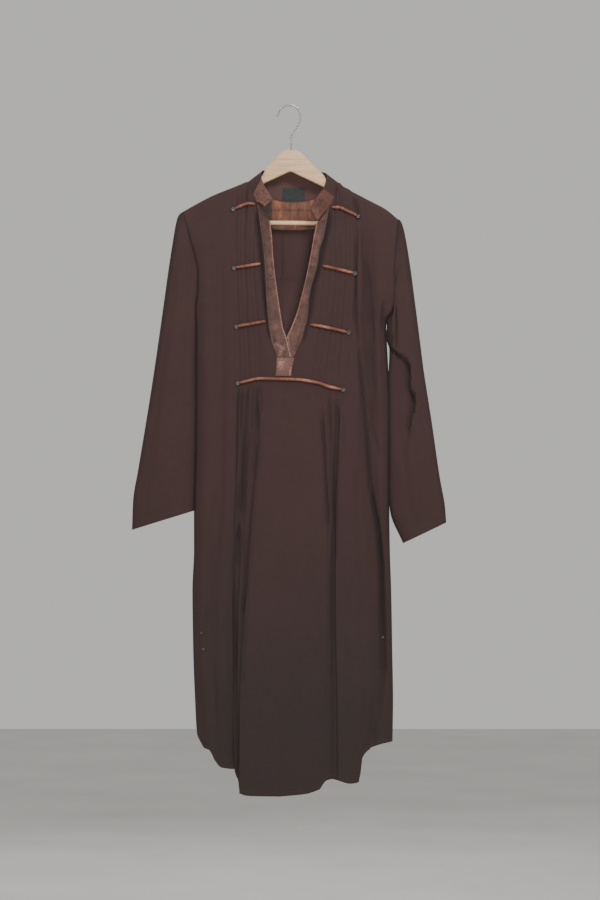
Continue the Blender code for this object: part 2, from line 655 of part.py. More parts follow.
def sampled(table, at_rows, at_columns):
    """A grid read at part rows and columns, along straight lines between its points."""
    table = np.asarray(table)
    at_rows, at_columns = np.asarray(at_rows, float), np.asarray(at_columns, float)
    r = np.clip(np.floor(at_rows).astype(int), 0, table.shape[0] - 2)
    c = np.clip(np.floor(at_columns).astype(int), 0, table.shape[1] - 2)
    fr, fc = (at_rows - r)[:, None, None], (at_columns - c)[None, :, None]
    upper = table[np.ix_(r, c)] * (1 - fc) + table[np.ix_(r, c + 1)] * fc
    lower = table[np.ix_(r + 1, c)] * (1 - fc) + table[np.ix_(r + 1, c + 1)] * fc
    return upper * (1 - fr) + lower * fr


def patch(name, points, normals, gap, thickness, finish, flip=False):
    """A piece that lies on a sheet of points, moved out from it along its normals."""
    rows, columns = points.shape[:2]
    numbers = np.arange(rows * columns).reshape(rows, columns)
    flat, facing = points.reshape(-1, 3), normals.reshape(-1, 3)
    facing = facing / np.linalg.norm(facing, axis=1, keepdims=True)
    quads = grid_quads(numbers, flip=flip)
    return wall(name, flat + facing * (gap + thickness), flat + facing * gap, quads, finish)


def level_row(drop):
    """The row number of a level row, with parts of a row between two."""
    drops = level_rows(-1, LEVEL_DROPS)
    return len(TOP_SHARES) + float(np.interp(drop, drops, range(len(drops))))


def neck_bands(front, finish):
    """The two bands that bind the V, and the tab below its point."""
    first = sum(len(shares) for shares in ZONE_SHARES[:3])
    end = level_row(BAND_END_DROP - 0.3)
    rows = list(range(0, int(end) + 1)) + [end]
    near_tip = 0.06
    across = np.array([first + c for c in (0, 1, 2, 3, 4 - near_tip)])
    for side, name in (("left", "neck_band_left"), ("right", "neck_band_right")):
        points, normals = front[side]
        shift = 0.14 if side == "right" else 0.0
        at = across - np.array([0, 0, 0, 0, shift])
        patch(name, sampled(points, rows, at), sampled(normals, rows, at),
              LAY_GAP, LEATHER, finish, flip=side == "right")
    tab_rows = [level_row(TAB_DROPS[0] + 0.3), level_row(491), level_row(TAB_DROPS[1])]
    left_at = [first, first + 2, first + 4]
    right_at = [first + 2, first]
    points = np.concatenate([sampled(front["left"][0], tab_rows, left_at),
                             sampled(front["right"][0], tab_rows, right_at)], axis=1)
    normals = np.concatenate([sampled(front["left"][1], tab_rows, left_at),
                              sampled(front["right"][1], tab_rows, right_at)], axis=1)
    patch("neck_tab", points, normals, LAY_GAP, LEATHER, finish)


def back_facing(grid, normals, finish):
    """The facing inside the back neck, on the back panel's inner side."""
    first = len(BACK_ZONE_SHARES)
    across = list(range(first + 1, first + len(BACK_NECK_SHARES) - 1))
    rows = [1, 2, 3, 4, 5, 5.4]
    points = sampled(grid, rows, across)
    inwards = -sampled(normals, rows, across)
    patch("back_neck_facing", points, inwards, CLOTH + FACING_GAP, CLOTH, finish)


def collar(front, back, leather, cloth, label):
    """The stand collar: two leather front ends, the cloth part round the back, its label."""
    neck = sum(len(shares) for shares in ZONE_SHARES[:2]) + round(NECK_SHARE * 12)
    band = sum(len(shares) for shares in ZONE_SHARES[:3])
    rise = np.array([0, 0, COLLAR_RISE])
    sides = {}
    for side, name in ((-1, "left"), (1, "right")):
        free = [(x, -forward, -drop) for x, forward, drop in COLLAR_FREE[side]]
        line = front[name][0][0, neck:band + 1][::-1] + rise
        line[-1, 1] = 0
        sewn = free + [tuple(p) for p in line]
        shares = np.linspace(0, 1, len(sewn))
        table = COLLAR_TOP[side]
        top = np.stack([column(table, k, shares) for k in (1, 2, 3)], axis=1) * (1, -1, -1)
        sides[side] = (sewn, [tuple(p) for p in top])
    first = len(BACK_ZONE_SHARES)
    last = first + len(BACK_NECK_SHARES) - 1
    back_sewn = [tuple(p + rise) for p in back[0, first + 1:last]]
    back_top = []
    left_top, right_top = sides[-1][1][-1], sides[1][1][-1]
    for share in BACK_NECK_SHARES[1:-1]:
        arch = 1 - (2 * share - 1) ** 2
        end_drop = -(left_top[2] + (right_top[2] - left_top[2]) * share)
        round_share = share + COLLAR_SIDE_REACH * math.sin(math.tau * share)
        x = left_top[0] + (right_top[0] - left_top[0]) * round_share
        drop = end_drop + (COLLAR_TOP_DROP - end_drop) * arch
        back_top.append((x, COLLAR_TOP_BEHIND * arch ** 0.6, -drop))
    sewn = sides[-1][0] + back_sewn + sides[1][0][::-1]
    top = sides[-1][1] + back_top + sides[1][1][::-1]
    sewn, top = np.array(sewn), np.array(top)
    grid = np.array([top + (sewn - top) * f for f in (0, 0.33, 0.67, 1)])
    rows, columns = grid.shape[:2]
    numbers = np.arange(rows * columns).reshape(rows, columns)
    quads = grid_quads(numbers, flip=True)
    normals = point_normals(grid.reshape(-1, 3), quads).reshape(rows, columns, 3)
    if np.sum(normals[:, columns // 2, 1]) < 0:
        normals = -normals
    cut = COLLAR_LEATHER_POINTS - 1
    slit = 0.03
    whole = list(range(rows))
    spans = (
        ("collar_front_left", list(range(cut)) + [cut - slit], leather),
        ("collar_back", [cut + slit] + list(range(cut + 1, columns - 1 - cut))
         + [columns - 1 - cut - slit], cloth),
        ("collar_front_right", [columns - 1 - cut + slit]
         + list(range(columns - cut, columns)), leather),
    )
    for name, at, finish in spans:
        patch(name, sampled(grid, whole, at), sampled(normals, whole, at),
              -COLLAR_WALL, COLLAR_WALL, finish)
    xs = grid[1, :, 0]
    ends = len(sides[-1][0])
    low, high = (float(np.interp(x, xs[ends:-ends], range(ends, columns - ends)))
                 for x in LABEL_X)
    at = [low, (low + high) / 2, high]
    label_rows = [3 * (1 - rise) for rise in LABEL_RISE[::-1]]
    patch("neck_label", sampled(grid, label_rows, at), -sampled(normals, label_rows, at),
          COLLAR_WALL + LAY_GAP, LABEL_WALL, label)


def on_front(tree, x, drop):
    """The front's surface point at x and drop, and its normal, both in millimetres."""
    place, normal, _, _ = tree.ray_cast(Vector((x, -500, -drop)), Vector((0, 1, 0)))
    if normal.y > 0:
        normal = -normal
    return place, normal


def spaced(points, step):
    """Points at even spacing on a smooth line through these."""
    points = np.array(points, float)
    length = np.concatenate([[0], np.cumsum(np.linalg.norm(np.diff(points, axis=0), axis=1))])
    count = max(2, round(length[-1] / step)) + 1
    at = np.linspace(0, length[-1], count)
    return np.stack([smooth(length, points[:, k], at) for k in range(points.shape[1])], axis=1)


def rod(name, points, radius, finish, sides_from=2):
    """A round rod along points, as a curve with a bevel and closed ends."""
    line = bpy.data.curves.new(name, "CURVE")
    line.dimensions = "3D"
    line.bevel_depth = radius * MM
    line.bevel_resolution = sides_from
    line.use_fill_caps = True
    spline = line.splines.new("POLY")
    spline.points.add(len(points) - 1)
    for place, point in zip(spline.points, points):
        place.co = (*(float(v) * MM for v in point), 1)
    line.materials.append(finish)
    made = bpy.data.objects.new(name, line)
    bpy.context.scene.collection.objects.link(made)
    return made


def stud(name, place, normal, radius, finish):
    """A domed metal stud standing on the cloth."""
    turn = normal.to_track_quat("Z", "Y")
    height = STUD_HEIGHT * radius / STUD_RADIUS
    rings = ((1.0, 0.0), (0.92, 0.5), (0.5, 0.92))
    count = 10
    points = []
    for share, rise in rings:
        for k in range(count):
            angle = math.tau * k / count
            flat = Vector((share * radius * math.cos(angle), share * radius * math.sin(angle),
                           rise * height))
            points.append(place + turn @ flat)
    points.append(place + turn @ Vector((0, 0, height)))
    faces = [tuple(range(count))[::-1]]
    for ring in range(len(rings) - 1):
        for k in range(count):
            a, b = ring * count + k, ring * count + (k + 1) % count
            faces.append((a, b, b + count, a + count))
    last = (len(rings) - 1) * count
    faces += [(last + k, last + (k + 1) % count, len(points) - 1) for k in range(count)]
    return make_object(name, points, faces, finish)


def forward_most(tree, x, drop, reach):
    """The furthest forward that the front stands within a small reach of a point."""
    steps = (-reach, -reach / 2, 0, reach / 2, reach)
    return min(on_front(tree, x + dx, drop + dz)[0].y for dx in steps for dz in (-reach, 0, reach))


def seat(tree, x, drop, radius, facing=None):
    """Where a flat round base of this radius rests on the front, and which way it faces."""
    place, normal = on_front(tree, x, drop)
    facing = facing or normal
    rise = 0.0
    for k in range(SEAT_TRIES):
        angle = math.tau * k / SEAT_TRIES
        for share in (0.3, 0.6, 0.9, 1.1, 1.25):
            near = on_front(tree, x + share * radius * math.cos(angle),
                            drop + share * radius * math.sin(angle))[0]
            rise = max(rise, (near - place).dot(facing))
    return place + facing * (rise + STUD_GAP), facing


def pipings(front, leather, metal):
    tree = front["tree"]
    lift = LAY_GAP + PIPING_RADIUS
    ahead = Vector((0, -1, 0))
    for name, stud_x, stud_drop, route in PIPINGS:
        path = [(x, forward_most(tree, x, drop, 3.2) - lift, -drop)
                for x, drop in spaced(route, PIPING_STEP)]
        rod(f"piping_{name}", path, PIPING_RADIUS, leather)
        studs = [(f"stud_{name}", stud_x, stud_drop)]
        if name == "long":
            studs.append(("stud_long_far", *LONG_FAR_STUD))
        for stud_name, x, drop in studs:
            place, facing = seat(tree, x, drop, STUD_RADIUS, ahead)
            stud(stud_name, place, facing, STUD_RADIUS, metal)
    for name, x, drop in SLIT_STUDS:
        place, facing = seat(tree, x, drop, SLIT_STUD_RADIUS)
        stud(f"slit_stud_{name}", place, facing, SLIT_STUD_RADIUS, metal)


def hanger(wood, steel):
    """The wooden hanger: a flat shaped body, a round bar and a steel hook."""
    outline = []
    for side in (-1, 1):
        half = [(side * x, drop) for x, drop in WOOD_NECK] + list(WOOD_SLOPE[side])
        ends = WOOD_END[side]
        start, stop = abs(half[-1][0]) + 18, abs(ends[0][0]) - 12
        for k in range(6):
            x = side * (start + (stop - start) * k / 5)
            half.append((x, shoulder_line(side, x) + WOOD_BELOW_CLOTH))
        half += list(ends) + list(WOOD_LOWER[side])
        outline += half[::-1] if side < 0 else half + [WOOD_APEX]
    work = bmesh.new()
    ring = [work.verts.new((x * MM, -WOOD_HALF * MM, -drop * MM)) for x, drop in outline]
    face = work.faces.new(ring)
    pushed = bmesh.ops.extrude_face_region(work, geom=[face])["geom"]
    moved = [v for v in pushed if isinstance(v, bmesh.types.BMVert)]
    bmesh.ops.translate(work, verts=moved, vec=(0, 2 * WOOD_HALF * MM, 0))
    work.normal_update()
    rims = [e for e in work.edges if abs(e.verts[0].co.y - e.verts[1].co.y) < 1e-6]
    bmesh.ops.bevel(work, geom=rims, offset=WOOD_BEVEL * MM, segments=2, profile=0.5,
                    affect="EDGES", clamp_overlap=True)
    bmesh.ops.recalc_face_normals(work, faces=work.faces)
    mesh = bpy.data.meshes.new("hanger_body")
    work.to_mesh(mesh)
    work.free()
    mesh.shade_smooth()
    mesh.set_sharp_from_angle(angle=math.radians(40))
    mesh.materials.append(wood)
    body = bpy.data.objects.new("hanger_body", mesh)
    bpy.context.scene.collection.objects.link(body)
    bar = [(x, 0, -drop) for x, drop in BAR_ENDS]
    rod("hanger_bar", bar, BAR_RADIUS, wood, sides_from=4)
    rod("hanger_hook", [(x, 0, -drop) for x, drop in spaced(HOOK, 5)], WIRE_RADIUS, steel)


def build():
    for old in list(bpy.data.objects):
        bpy.data.objects.remove(old, do_unlink=True)
    cloth = material("brown cloth", (0.066, 0.037, 0.034), 0.85)
    leather = material("brown leather", (0.150, 0.078, 0.060), 0.4)
    rust = material("rust leather", (0.205, 0.090, 0.055), 0.45)
    dark = material("label cloth", (0.030, 0.040, 0.038), 0.7)
    wood = material("pale wood", (0.560, 0.440, 0.330), 0.5)
    steel = material("steel wire", (0.500, 0.490, 0.460), 0.3, metallic=1.0)
    metal = material("dark metal", (0.110, 0.095, 0.085), 0.35, metallic=1.0)
    front = front_panel(cloth)
    grid, normals = back_panel(cloth)
    rows = front["underarm"] + 1
    for side, name in ((-1, "left"), (1, "right")):
        front_edge = front[name][0][:rows, 0]
        back_edge = grid[:rows, 0 if side < 0 else -1]
        sleeve(f"sleeve_{name}", side, front_edge, back_edge, cloth)
    neck_bands(front, leather)
    back_facing(grid, normals, rust)
    collar(front, grid, leather, cloth, dark)
    pipings(front, rust, metal)
    hanger(wood, steel)


build()
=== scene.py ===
# Looks of a long kurti on its wooden hanger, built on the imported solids' frame.
# Metres, +Z up, front towards -Y. The origin is the underside of the hook's crown.
# The tables are in millimetres: drop is the distance below the origin, x is across,
# and forward is the distance in front of the plane of the side seams.

import math

import bmesh
import bpy
import numpy as np
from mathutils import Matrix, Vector
from mathutils.bvhtree import BVHTree


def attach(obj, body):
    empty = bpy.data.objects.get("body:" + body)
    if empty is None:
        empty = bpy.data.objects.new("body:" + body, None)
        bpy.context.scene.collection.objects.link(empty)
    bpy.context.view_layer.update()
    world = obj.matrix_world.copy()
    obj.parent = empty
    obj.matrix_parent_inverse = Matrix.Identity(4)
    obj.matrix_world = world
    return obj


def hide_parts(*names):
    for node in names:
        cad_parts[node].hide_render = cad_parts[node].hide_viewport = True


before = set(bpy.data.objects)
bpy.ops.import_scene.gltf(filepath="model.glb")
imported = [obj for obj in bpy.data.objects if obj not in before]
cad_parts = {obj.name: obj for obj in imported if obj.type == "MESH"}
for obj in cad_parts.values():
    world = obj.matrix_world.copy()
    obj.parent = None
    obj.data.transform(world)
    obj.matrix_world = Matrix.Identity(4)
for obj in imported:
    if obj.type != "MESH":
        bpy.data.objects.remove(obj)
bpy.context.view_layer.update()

MM = 0.001
SIDES = ((-1, "left"), (1, "right"))
FRONTWARDS = (0, -1, 0)
BACKWARDS = (0, 1, 0)
FLOOR = -1.75

# Thickness of cloth and trim
CLOTH = 1.2
LEATHER = 1.6
COLLAR_WALL = 1.8
LABEL_WALL = 0.8
LAY_GAP = 0.35
SHOULDER_ROUND = 9.0
WIRE_RADIUS = 1.9
CORD_RADIUS = 2.75
BAR_RADIUS = 4.25
WOOD_THICK = 13.0
WOOD_BEVEL = 3.2

# Colours laid over the cloth and leather as painted shade: darker and less red low down, in the
# folds, and on the trim
LOW_PAINTED_SHADE = (0.78, 0.98, 1.0)
FOLD_PAINTED_SHADE = (0.0165, 0.0175, 0.0165)
TRIM_PAINTED_SHADE = (0.034, 0.0225, 0.017)

# Rows of the front and back, from the shoulder line down
TOP_SHARES = (0.0, 0.012, 0.03, 0.06, 0.1, 0.15, 0.21, 0.28, 0.36, 0.44, 0.52, 0.6, 0.68,
              0.76, 0.84, 0.92)
ROWS_TO_UNDERARM = 24
ROWS_TO_TIP = 8
ROWS_TO_LOW = 94
BACK_ROWS_TO_LOW = 60
UNDERARM_ROW = len(TOP_SHARES) + ROWS_TO_UNDERARM
LEVEL_TOP = 252.0
LEVEL_LOW = 1050.0
HEM_SHARES = tuple((k + 1) / 32 for k in range(31)) + (0.988, 1.0)
UNDERARM = {-1: 391.0, 1: 404.0}
TIP_DROP = 436
TAB_DROPS = (473.5, 509)
TAB_ROWS = 16
TAB_HEIGHT = 36
BAND_SEAM = 0.13

# The lines that part a half front's zones, and shares of the way across each zone
ZONE_LINES = ("edge", "fold", "tuck", "band", "vee")
ZONE_SHARES = (
    (0.0, 0.012, 0.03, 0.06) + tuple(k / 22 for k in range(2, 22)),
    tuple(k / 18 for k in range(18)),
    tuple(k / 60 for k in range(60)),
    tuple(k / 7 for k in range(8)),
)
NECK_SHARE = 25 / 60
NECK_COLUMN = sum(len(shares) for shares in ZONE_SHARES[:2]) + round(NECK_SHARE * 60)
BAND_COLUMN = sum(len(shares) for shares in ZONE_SHARES[:3])
# How much of their folds the first columns beside a side seam have
SEAM_CALM = (0.0, 0.35, 0.8)

# The middle line that both halves of the front share, from the V's tip down: (drop, x)
MIDDLE_LINE = ((436, -8.5), (455, -4), (473.5, 0.5), (491, -3), (509, -7.5), (553, -7.5),
               (628, -8.5), (850, -13), (1026, -17), (1295, -21))
# Lines down the front, left half then right half as seen from the front: (drop, x)
LINES = {
    -1: {
        "edge": ((198, -202), (216, -198.5), (253, -189), (286, -180), (312, -175.6),
                 (344, -175.6), (370, -179), (391, -182.2), (421, -181), (515, -180.5),
                 (628, -180.5), (761, -182.5), (835, -182.5), (910, -185.5),
                 (1023, -184), (1117, -180.5), (1173, -177.5), (1201, -173)),
        "fold": ((172, -154), (252, -148.5), (421, -143), (628, -137), (761, -139),
                 (850, -150), (966, -152), (1117, -147), (1220, -143)),
        "tuck": ((154, -111), (197, -109.5), (252, -107), (308, -104), (421, -100.5),
                 (521, -98.5), (628, -99), (761, -103.5), (850, -107), (966, -110),
                 (1117, -107), (1258, -102.5)),
        "band": ((180, -65), (212, -64), (235, -58), (274, -52.5), (384, -45.5),
                 (421, -41.5), (450, -35.5), (473.5, -27.5), (509, -29), (526, -39.5),
                 (553, -51.5), (628, -61), (739, -72), (850, -81), (938, -85.5),
                 (1026, -92), (1160, -95.5), (1284, -96.5)),
        "vee": ((220, -38.5), (243, -35.5), (274, -34), (384, -20.5), (421, -14)) + MIDDLE_LINE,
    },
    1: {
        "edge": ((212, 200), (229, 200.5), (271, 197.5), (308, 195), (344, 196), (370, 195.5),
                 (384, 192.5), (393, 187), (399, 182.5), (404, 179.8), (421, 179), (449, 180.5),
                 (496, 183), (553, 185.5), (628, 186), (761, 185), (835, 186), (910, 188.5),
                 (1023, 190.5), (1117, 192), (1194, 191)),
        "fold": ((161, 114.5), (205, 133.5), (252, 138), (421, 145), (628, 147.5),
                 (739, 154), (805, 163.5), (850, 168), (996, 173), (1049, 174),
                 (1117, 163.5), (1196, 151)),
        "tuck": ((152, 99.5), (186, 118.5), (209, 125), (252, 122), (318, 119),
                 (427, 107.5), (534, 98.5), (628, 90), (761, 84.5), (895, 84),
                 (983, 84.5), (1072, 86.5), (1205, 88.5), (1267, 88.5)),
        "band": ((190, 73), (216, 67.5), (243, 64), (274, 53.5), (293, 51.5),
                 (365, 34), (399, 32), (421, 25.5), (440, 21.5), (457, 13),
                 (473.5, 6.5), (509, 1), (526, 22.5), (553, 45), (628, 56.5),
                 (739, 64), (805, 67.5), (895, 67.5), (983, 66), (1072, 62),
                 (1205, 56.5), (1284, 54)),
        "vee": ((226, 46), (243, 42.5), (274, 37.5), (384, 12), (421, -2)) + MIDDLE_LINE,
    },
}

# The front's top edge, zone by zone: (share, x, drop)
TOPS = {
    -1: (
        ((0, -202, 198.3), (0.5, -178.5, 185), (1, -154, 172)),
        ((0, -154, 172), (0.5, -132.5, 162.5), (1, -111, 154.2)),
        ((0, -111, 154.2), (0.2, -96, 148), (NECK_SHARE, -82, 142.9),
         (0.62, -74.5, 158), (1, -65, 180.5)),
        ((0, -65, 180.5), (0.45, -53.5, 198.5), (1, -38.5, 220)),
    ),
    1: (
        ((0, 200, 212.4), (0.25, 178.5, 194.6), (0.55, 152, 180.5), (1, 114.5, 161)),
        ((0, 114.5, 161), (0.37, 109, 156.8), (1, 99.5, 152.3)),
        ((0, 99.5, 152.3), (NECK_SHARE, 89.3, 143.8), (0.62, 85.5, 161),
         (0.8, 80, 175), (1, 73, 190)),
        ((0, 73, 190), (0.45, 61, 207), (1, 46, 226)),
    ),
}

# How far forward the top edge starts, from the tucks to the band: (share, forward), and
# from there to the V's edge
TOP_FORWARD = ((0, 0), (NECK_SHARE, 0), (0.51, 7.5), (0.64, 12), (1, 20))
VEE_FORWARD = (20, 28)

# The front's hem, zone by zone: (share, drop)
HEMS = {
    -1: (
        ((0, 1184), (0.33, 1205), (0.66, 1209), (1, 1228)),
        ((0, 1228), (0.3, 1241), (1, 1244)),
        ((0, 1244), (0.3, 1258), (0.5, 1266), (0.75, 1279), (1, 1289)),
        ((0, 1289), (0.2, 1293.5), (1, 1294.5)),
    ),
    1: (
        ((0, 1194), (0.5, 1197.5), (1, 1204)),
        ((0, 1204), (0.28, 1224), (0.37, 1268), (0.65, 1271), (1, 1265)),
        ((0, 1265), (0.5, 1262), (0.75, 1268), (1, 1281)),
        ((0, 1281), (0.3, 1289), (1, 1294.5)),
    ),
}

# How far the front's edge stands forward round the armhole: (drop, forward)
ARM_FORWARD = {
    -1: ((252, 14), (300, 16), (350, 12.5), (391, 0)),
    1: ((252, 12), (300, 16), (350, 14), (404, 0)),
}
# How far the middle of the front and of the back stands from the seams: (drop, forward)
FRONT_FORWARD = ((252, 28), (340, 31), (436, 32), (526, 33), (700, 36), (950, 39), (1295, 41))
BACK_BEHIND = ((252, 24), (436, 25), (800, 27), (1295, 29))
# How full they are from edge to middle: 2 is an ellipse, and more is fuller
LENS_POWER = 2.4

# The fold line between armhole and tucks: (drop, depth)
SIDE_FOLD = {
    -1: ((190, 0), (300, 1.5), (700, 3), (900, 4), (1200, 2)),
    1: ((165, 2), (205, 7), (420, 9), (800, 10), (1049, 9), (1200, 6)),
}
# The ripples across the released folds
WAVES_BETWEEN = 3

# The back's neck: how far it dips and stands back in the middle, and its ends' x
BACK_NECK_DEEP = 36.0
BACK_NECK_BEHIND = 26.0
BACK_NECK_X = {-1: -83.0, 1: 90.0}
# Shares of the way from a side seam to the neck, and across the neck
BACK_ZONE_SHARES = (0.0, 0.015, 0.04) + tuple(k / 22 for k in range(2, 22))
BACK_NECK_SHARES = (0.0, 0.012, 0.03) + tuple(k / 44 for k in range(3, 42)) + (0.97, 0.988, 1.0)
# The back's hem: (share of the way from a side seam to the middle, drop)
BACK_HEM = {
    -1: ((0, 1183), (0.08, 1200), (0.14, 1204), (0.21, 1225), (0.386, 1238), (0.46, 1251),
         (0.6, 1268), (1, 1286)),
    1: ((0, 1187), (0.13, 1191), (0.225, 1198), (0.31, 1213), (0.36, 1242), (0.45, 1257),
        (0.62, 1268), (1, 1286)),
}
# The soft folds that grow down the back: (x, width, depth)
BACK_FOLDS = ((-118, 17, 5.5), (-46, 20, 4.5), (6, 9, 3.0), (64, 20, 5.0), (131, 16, 6.0))

# The sleeves' rings: (outer x, outer drop, inner x, inner drop, half depth)
SLEEVE_RINGS = {
    -1: (
        (-207.5, 201.5, -183.4, 395, 16), (-212.5, 208, -183.2, 402, 17),
        (-216.5, 222, -182.8, 411, 19), (-222, 253, -182.4, 425, 21),
        (-231, 312, -182.2, 450, 23), (-243, 398, -181.9, 490, 24),
        (-258, 502, -181.7, 545, 24), (-274, 603, -181.8, 610, 23),
        (-287.5, 684, -182.4, 672, 21), (-297, 742, -183.3, 722, 19),
        (-299, 797, -184.2, 761, 17),
    ),
    1: (
        (205, 214.5, 181.6, 409, 16), (209, 222, 182, 417, 17),
        (212.5, 234, 183, 427, 19), (217, 256, 184.5, 442, 21),
        (226, 314, 186.2, 468, 23), (231.5, 356, 186.8, 489, 24),
        (237, 398, 186.6, 510, 24), (243.5, 449, 186.6, 538, 24),
        (250, 500, 187, 566, 24), (258, 551, 187.2, 600, 23.5),
        (266, 603, 187.4, 634, 23), (279.5, 696, 187.2, 704, 21),
        (289.5, 752, 193, 764, 19), (292, 783, 217, 822, 16),
    ),
}
# Rings to each row of the table, and how far the first rows have left the armhole's form
SLEEVE_FINER = {-1: 9, 1: 7}
SLEEVE_BLEND = (0.15, 0.3, 0.5, 0.7, 0.9, 1.0)
# How full a ring is: 2 is an ellipse, and more is fuller
SLEEVE_FULL = 2.3
# The rings between the armhole's seam and the first one of the table, and how much of
# their folds the first five rings have
SLEEVE_SEAM_RINGS = (0, 0.2, 0.45, 0.72)
SLEEVE_CALM = (0.0, 0.1, 0.3, 0.6, 0.85)
# The right sleeve's twist: where the upper cloth's edge lies over the lower, (drop, x)
TWIST_EDGE = ((446, 180.5), (462, 194.5), (473, 208), (481, 219), (493, 225), (528, 225),
              (552, 234.5), (571, 233), (590, 227.5), (612, 223), (660, 214))
TWIST_SHARE = 0.45
TWIST_SOFT = 2.2

# The collar's free front ends, (x, forward, drop), before its edge meets the neckline
COLLAR_FREE = {
    -1: ((-49, 29, 191), (-57.5, 25.5, 184)),
    1: ((49.5, 31, 217.5), (62, 27.5, 202.5)),
}
# Its top edge from the front end to the side of the neck: (share, x, forward, drop)
COLLAR_TOP = {
    -1: ((0, -33.8, 34, 178.5), (0.2, -42, 31, 165), (0.38, -50, 26.5, 152),
         (0.62, -56.4, 15, 133.5), (0.85, -55, 6, 124), (1, -52.6, 0, 121)),
    1: ((0, 36.5, 36, 195.5), (0.2, 43.5, 34, 182.5), (0.38, 51, 30, 169),
        (0.62, 63, 20, 152), (0.85, 67, 9, 134), (1, 64, 0, 125.5)),
}
# Points of the table that are leather, the height that its creases are placed on, where
# its stitches run, how far the sewn edge lies over the neckline, and how far the top edge
# swings out at the sides of the neck
COLLAR_LEATHER_POINTS = 6
COLLAR_HEIGHT = 40
COLLAR_SEAM = 0.12
COLLAR_RISE = -0.8
COLLAR_SIDE_REACH = -0.04
# The middle of the top edge at the back
COLLAR_TOP_BEHIND = 30.0
COLLAR_TOP_DROP = 117.5
# The label inside it: left and right ends, its lower and upper edge in shares of the
# collar's height, and its rows and columns of points
LABEL_X = (-15.0, 25.4)
LABEL_RISE = (0.05, 0.44)
LABEL_POINTS = (8, 14)
# The facing, in shares of the back neck's width and of the rows above the level ones
FACING_ACROSS = (0.035, 0.965)
FACING_DOWN = (0.015, 0.73)
FACING_POINTS = (24, 110)
FACING_GAP = 0.6

# Pipings and the studs at their ends, on the front: (name, studs, piping's line), (x, drop)
PIPINGS = (
    ("left_1", ((-108.0, 195.5),), ((-102.6, 193.2), (-90, 188), (-79, 185), (-69.5, 186))),
    ("left_2", ((-106.0, 306.5),), ((-101.3, 305.3), (-80, 302), (-59, 298.5))),
    ("left_3", ((-102.0, 416.0),), ((-97.3, 414.8), (-72, 410.5), (-49.5, 406.5))),
    ("right_1", ((126.0, 208.0),), ((121.4, 206), (105, 198.5), (90, 192.5), (78.5, 192))),
    ("right_2", ((120.0, 316.5),), ((115.3, 315.3), (87, 308.5), (60.5, 302.5))),
    ("right_3", ((108.0, 427.0),), ((103.3, 425.8), (78, 420), (60, 416), (38.5, 412.5))),
    ("long", ((-99.5, 521.5), (98.5, 534.0)),
     ((-94.8, 520.7), (-54.5, 513.2), (-28, 514), (10, 515), (51, 521.5), (70, 528),
      (93.7, 533.2))),
)
# The smaller studs at the side slits: (name, x, drop)
SLIT_STUDS = (("left_1", -167.5, 989.5), ("left_2", -164.0, 1020.0), ("right_1", 173.0, 998.5))
SLIT_STUD_SIZE = 0.62

# Hanger outline left and right of the middle, below the arms: (x, drop)
WOOD_NECK = ((5.6, 82.7), (11, 83.6), (19, 87.5))
WOOD_SLOPE = {-1: ((-47.5, 119), (-52, 127.5), (-58, 136), (-67, 147), (-77, 154)),
              1: ((63.5, 132), (68, 144), (78, 152), (84, 155))}
WOOD_LOWER = {
    -1: ((-172, 227.5), (-163.6, 225), (-163.6, 211.5), (-146.5, 202), (-111, 183),
         (-77, 164.5), (-51, 146.5)),
    1: ((176, 231), (167.4, 228.5), (167.4, 215), (152, 206), (115, 184.5),
        (92, 171.5), (61.5, 153.5)),
}
WOOD_END = {-1: ((-190.5, 199), (-192, 208), (-186, 221)),
            1: ((187, 204.8), (189.5, 213), (186, 225))}
WOOD_APEX = (-1, 123.2)
# The wood lies this far under the shoulder seams, from its slope to its ends
WOOD_UNDER_SEAM = 3.4
WOOD_UNDER_ENDS = (18, 12)
WOOD_OUTLINE_POINTS = 260
BAR_ENDS = ((-163.3, 218.5), (167.1, 222.0))
HOOK = ((0, 82.3), (0, 58), (3.5, 49.5), (10.5, 39.5), (16, 29), (17.3, 17), (12, 4.5),
        (0, -1.9), (-12, 0.5), (-21, 8), (-26, 18.5))
# How far the sleeve's inner side is pressed onto the body: (inner drop, distance)
SLEEVE_PRESSED = {
    -1: ((395, 1.8), (411, 3.0), (450, 4.0), (610, 4.0), (700, 3.0), (761, 2.0)),
    1: ((409, 2.6), (413, 1.8), (419, 2.2), (425, 4.0), (440, 4.9), (447, 3.3), (455, 0.9),
        (470, 1.7), (485, 2.7), (497, 3.3), (506, 4.0), (512, 4.4), (704, 4.4), (745, 6.0),
        (765, 6.5)),
}
# The two deep folds released below the long piping, and the fine ones between them:
# (drop, how far the cloth is hidden behind the middle panel, how far it falls back, ripple)
RELEASED = {
    -1: ((526, 0, 0, 0), (609, 0.5, 3.5, 1.6), (700, 0.5, 5.5, 1.2), (853, 0.5, 6.5, 0.6),
         (1050, 1, 6.5, 0), (1295, 1, 5, 0)),
    1: ((526, 0, 0, 0), (609, 0, 4, 1.6), (700, 0, 6, 1.2), (853, 0, 7.5, 0.4),
        (1050, 0, 7, 0), (1295, 0, 6, 0)),
}
# Their form from the tucks' line to the middle panel: (share, hidden, falls back)
FOLD_FORM = {
    -1: ((0, 0, 0), (0.2, 0, 0.7), (0.4, 0.2, 1), (0.62, 0.6, 0.95), (0.84, 0.7, 0.7), (1, 0, 0)),
    1: ((0, 0, 0), (0.13, 0, 0.85), (0.27, 0, 1), (0.5, 0, 0.72), (0.75, 0, 0.36), (1, 0, 0)),
}

# A tuck's widths on its left, for a lean of 1, and on its right, and the groove beside it:
# (share of the tuck's height, distance, width)
TUCK_LEAN = 6.0
TUCK_STEEP = 0.9
TUCK_GROOVE = (0.42, 1.7, 1.1)
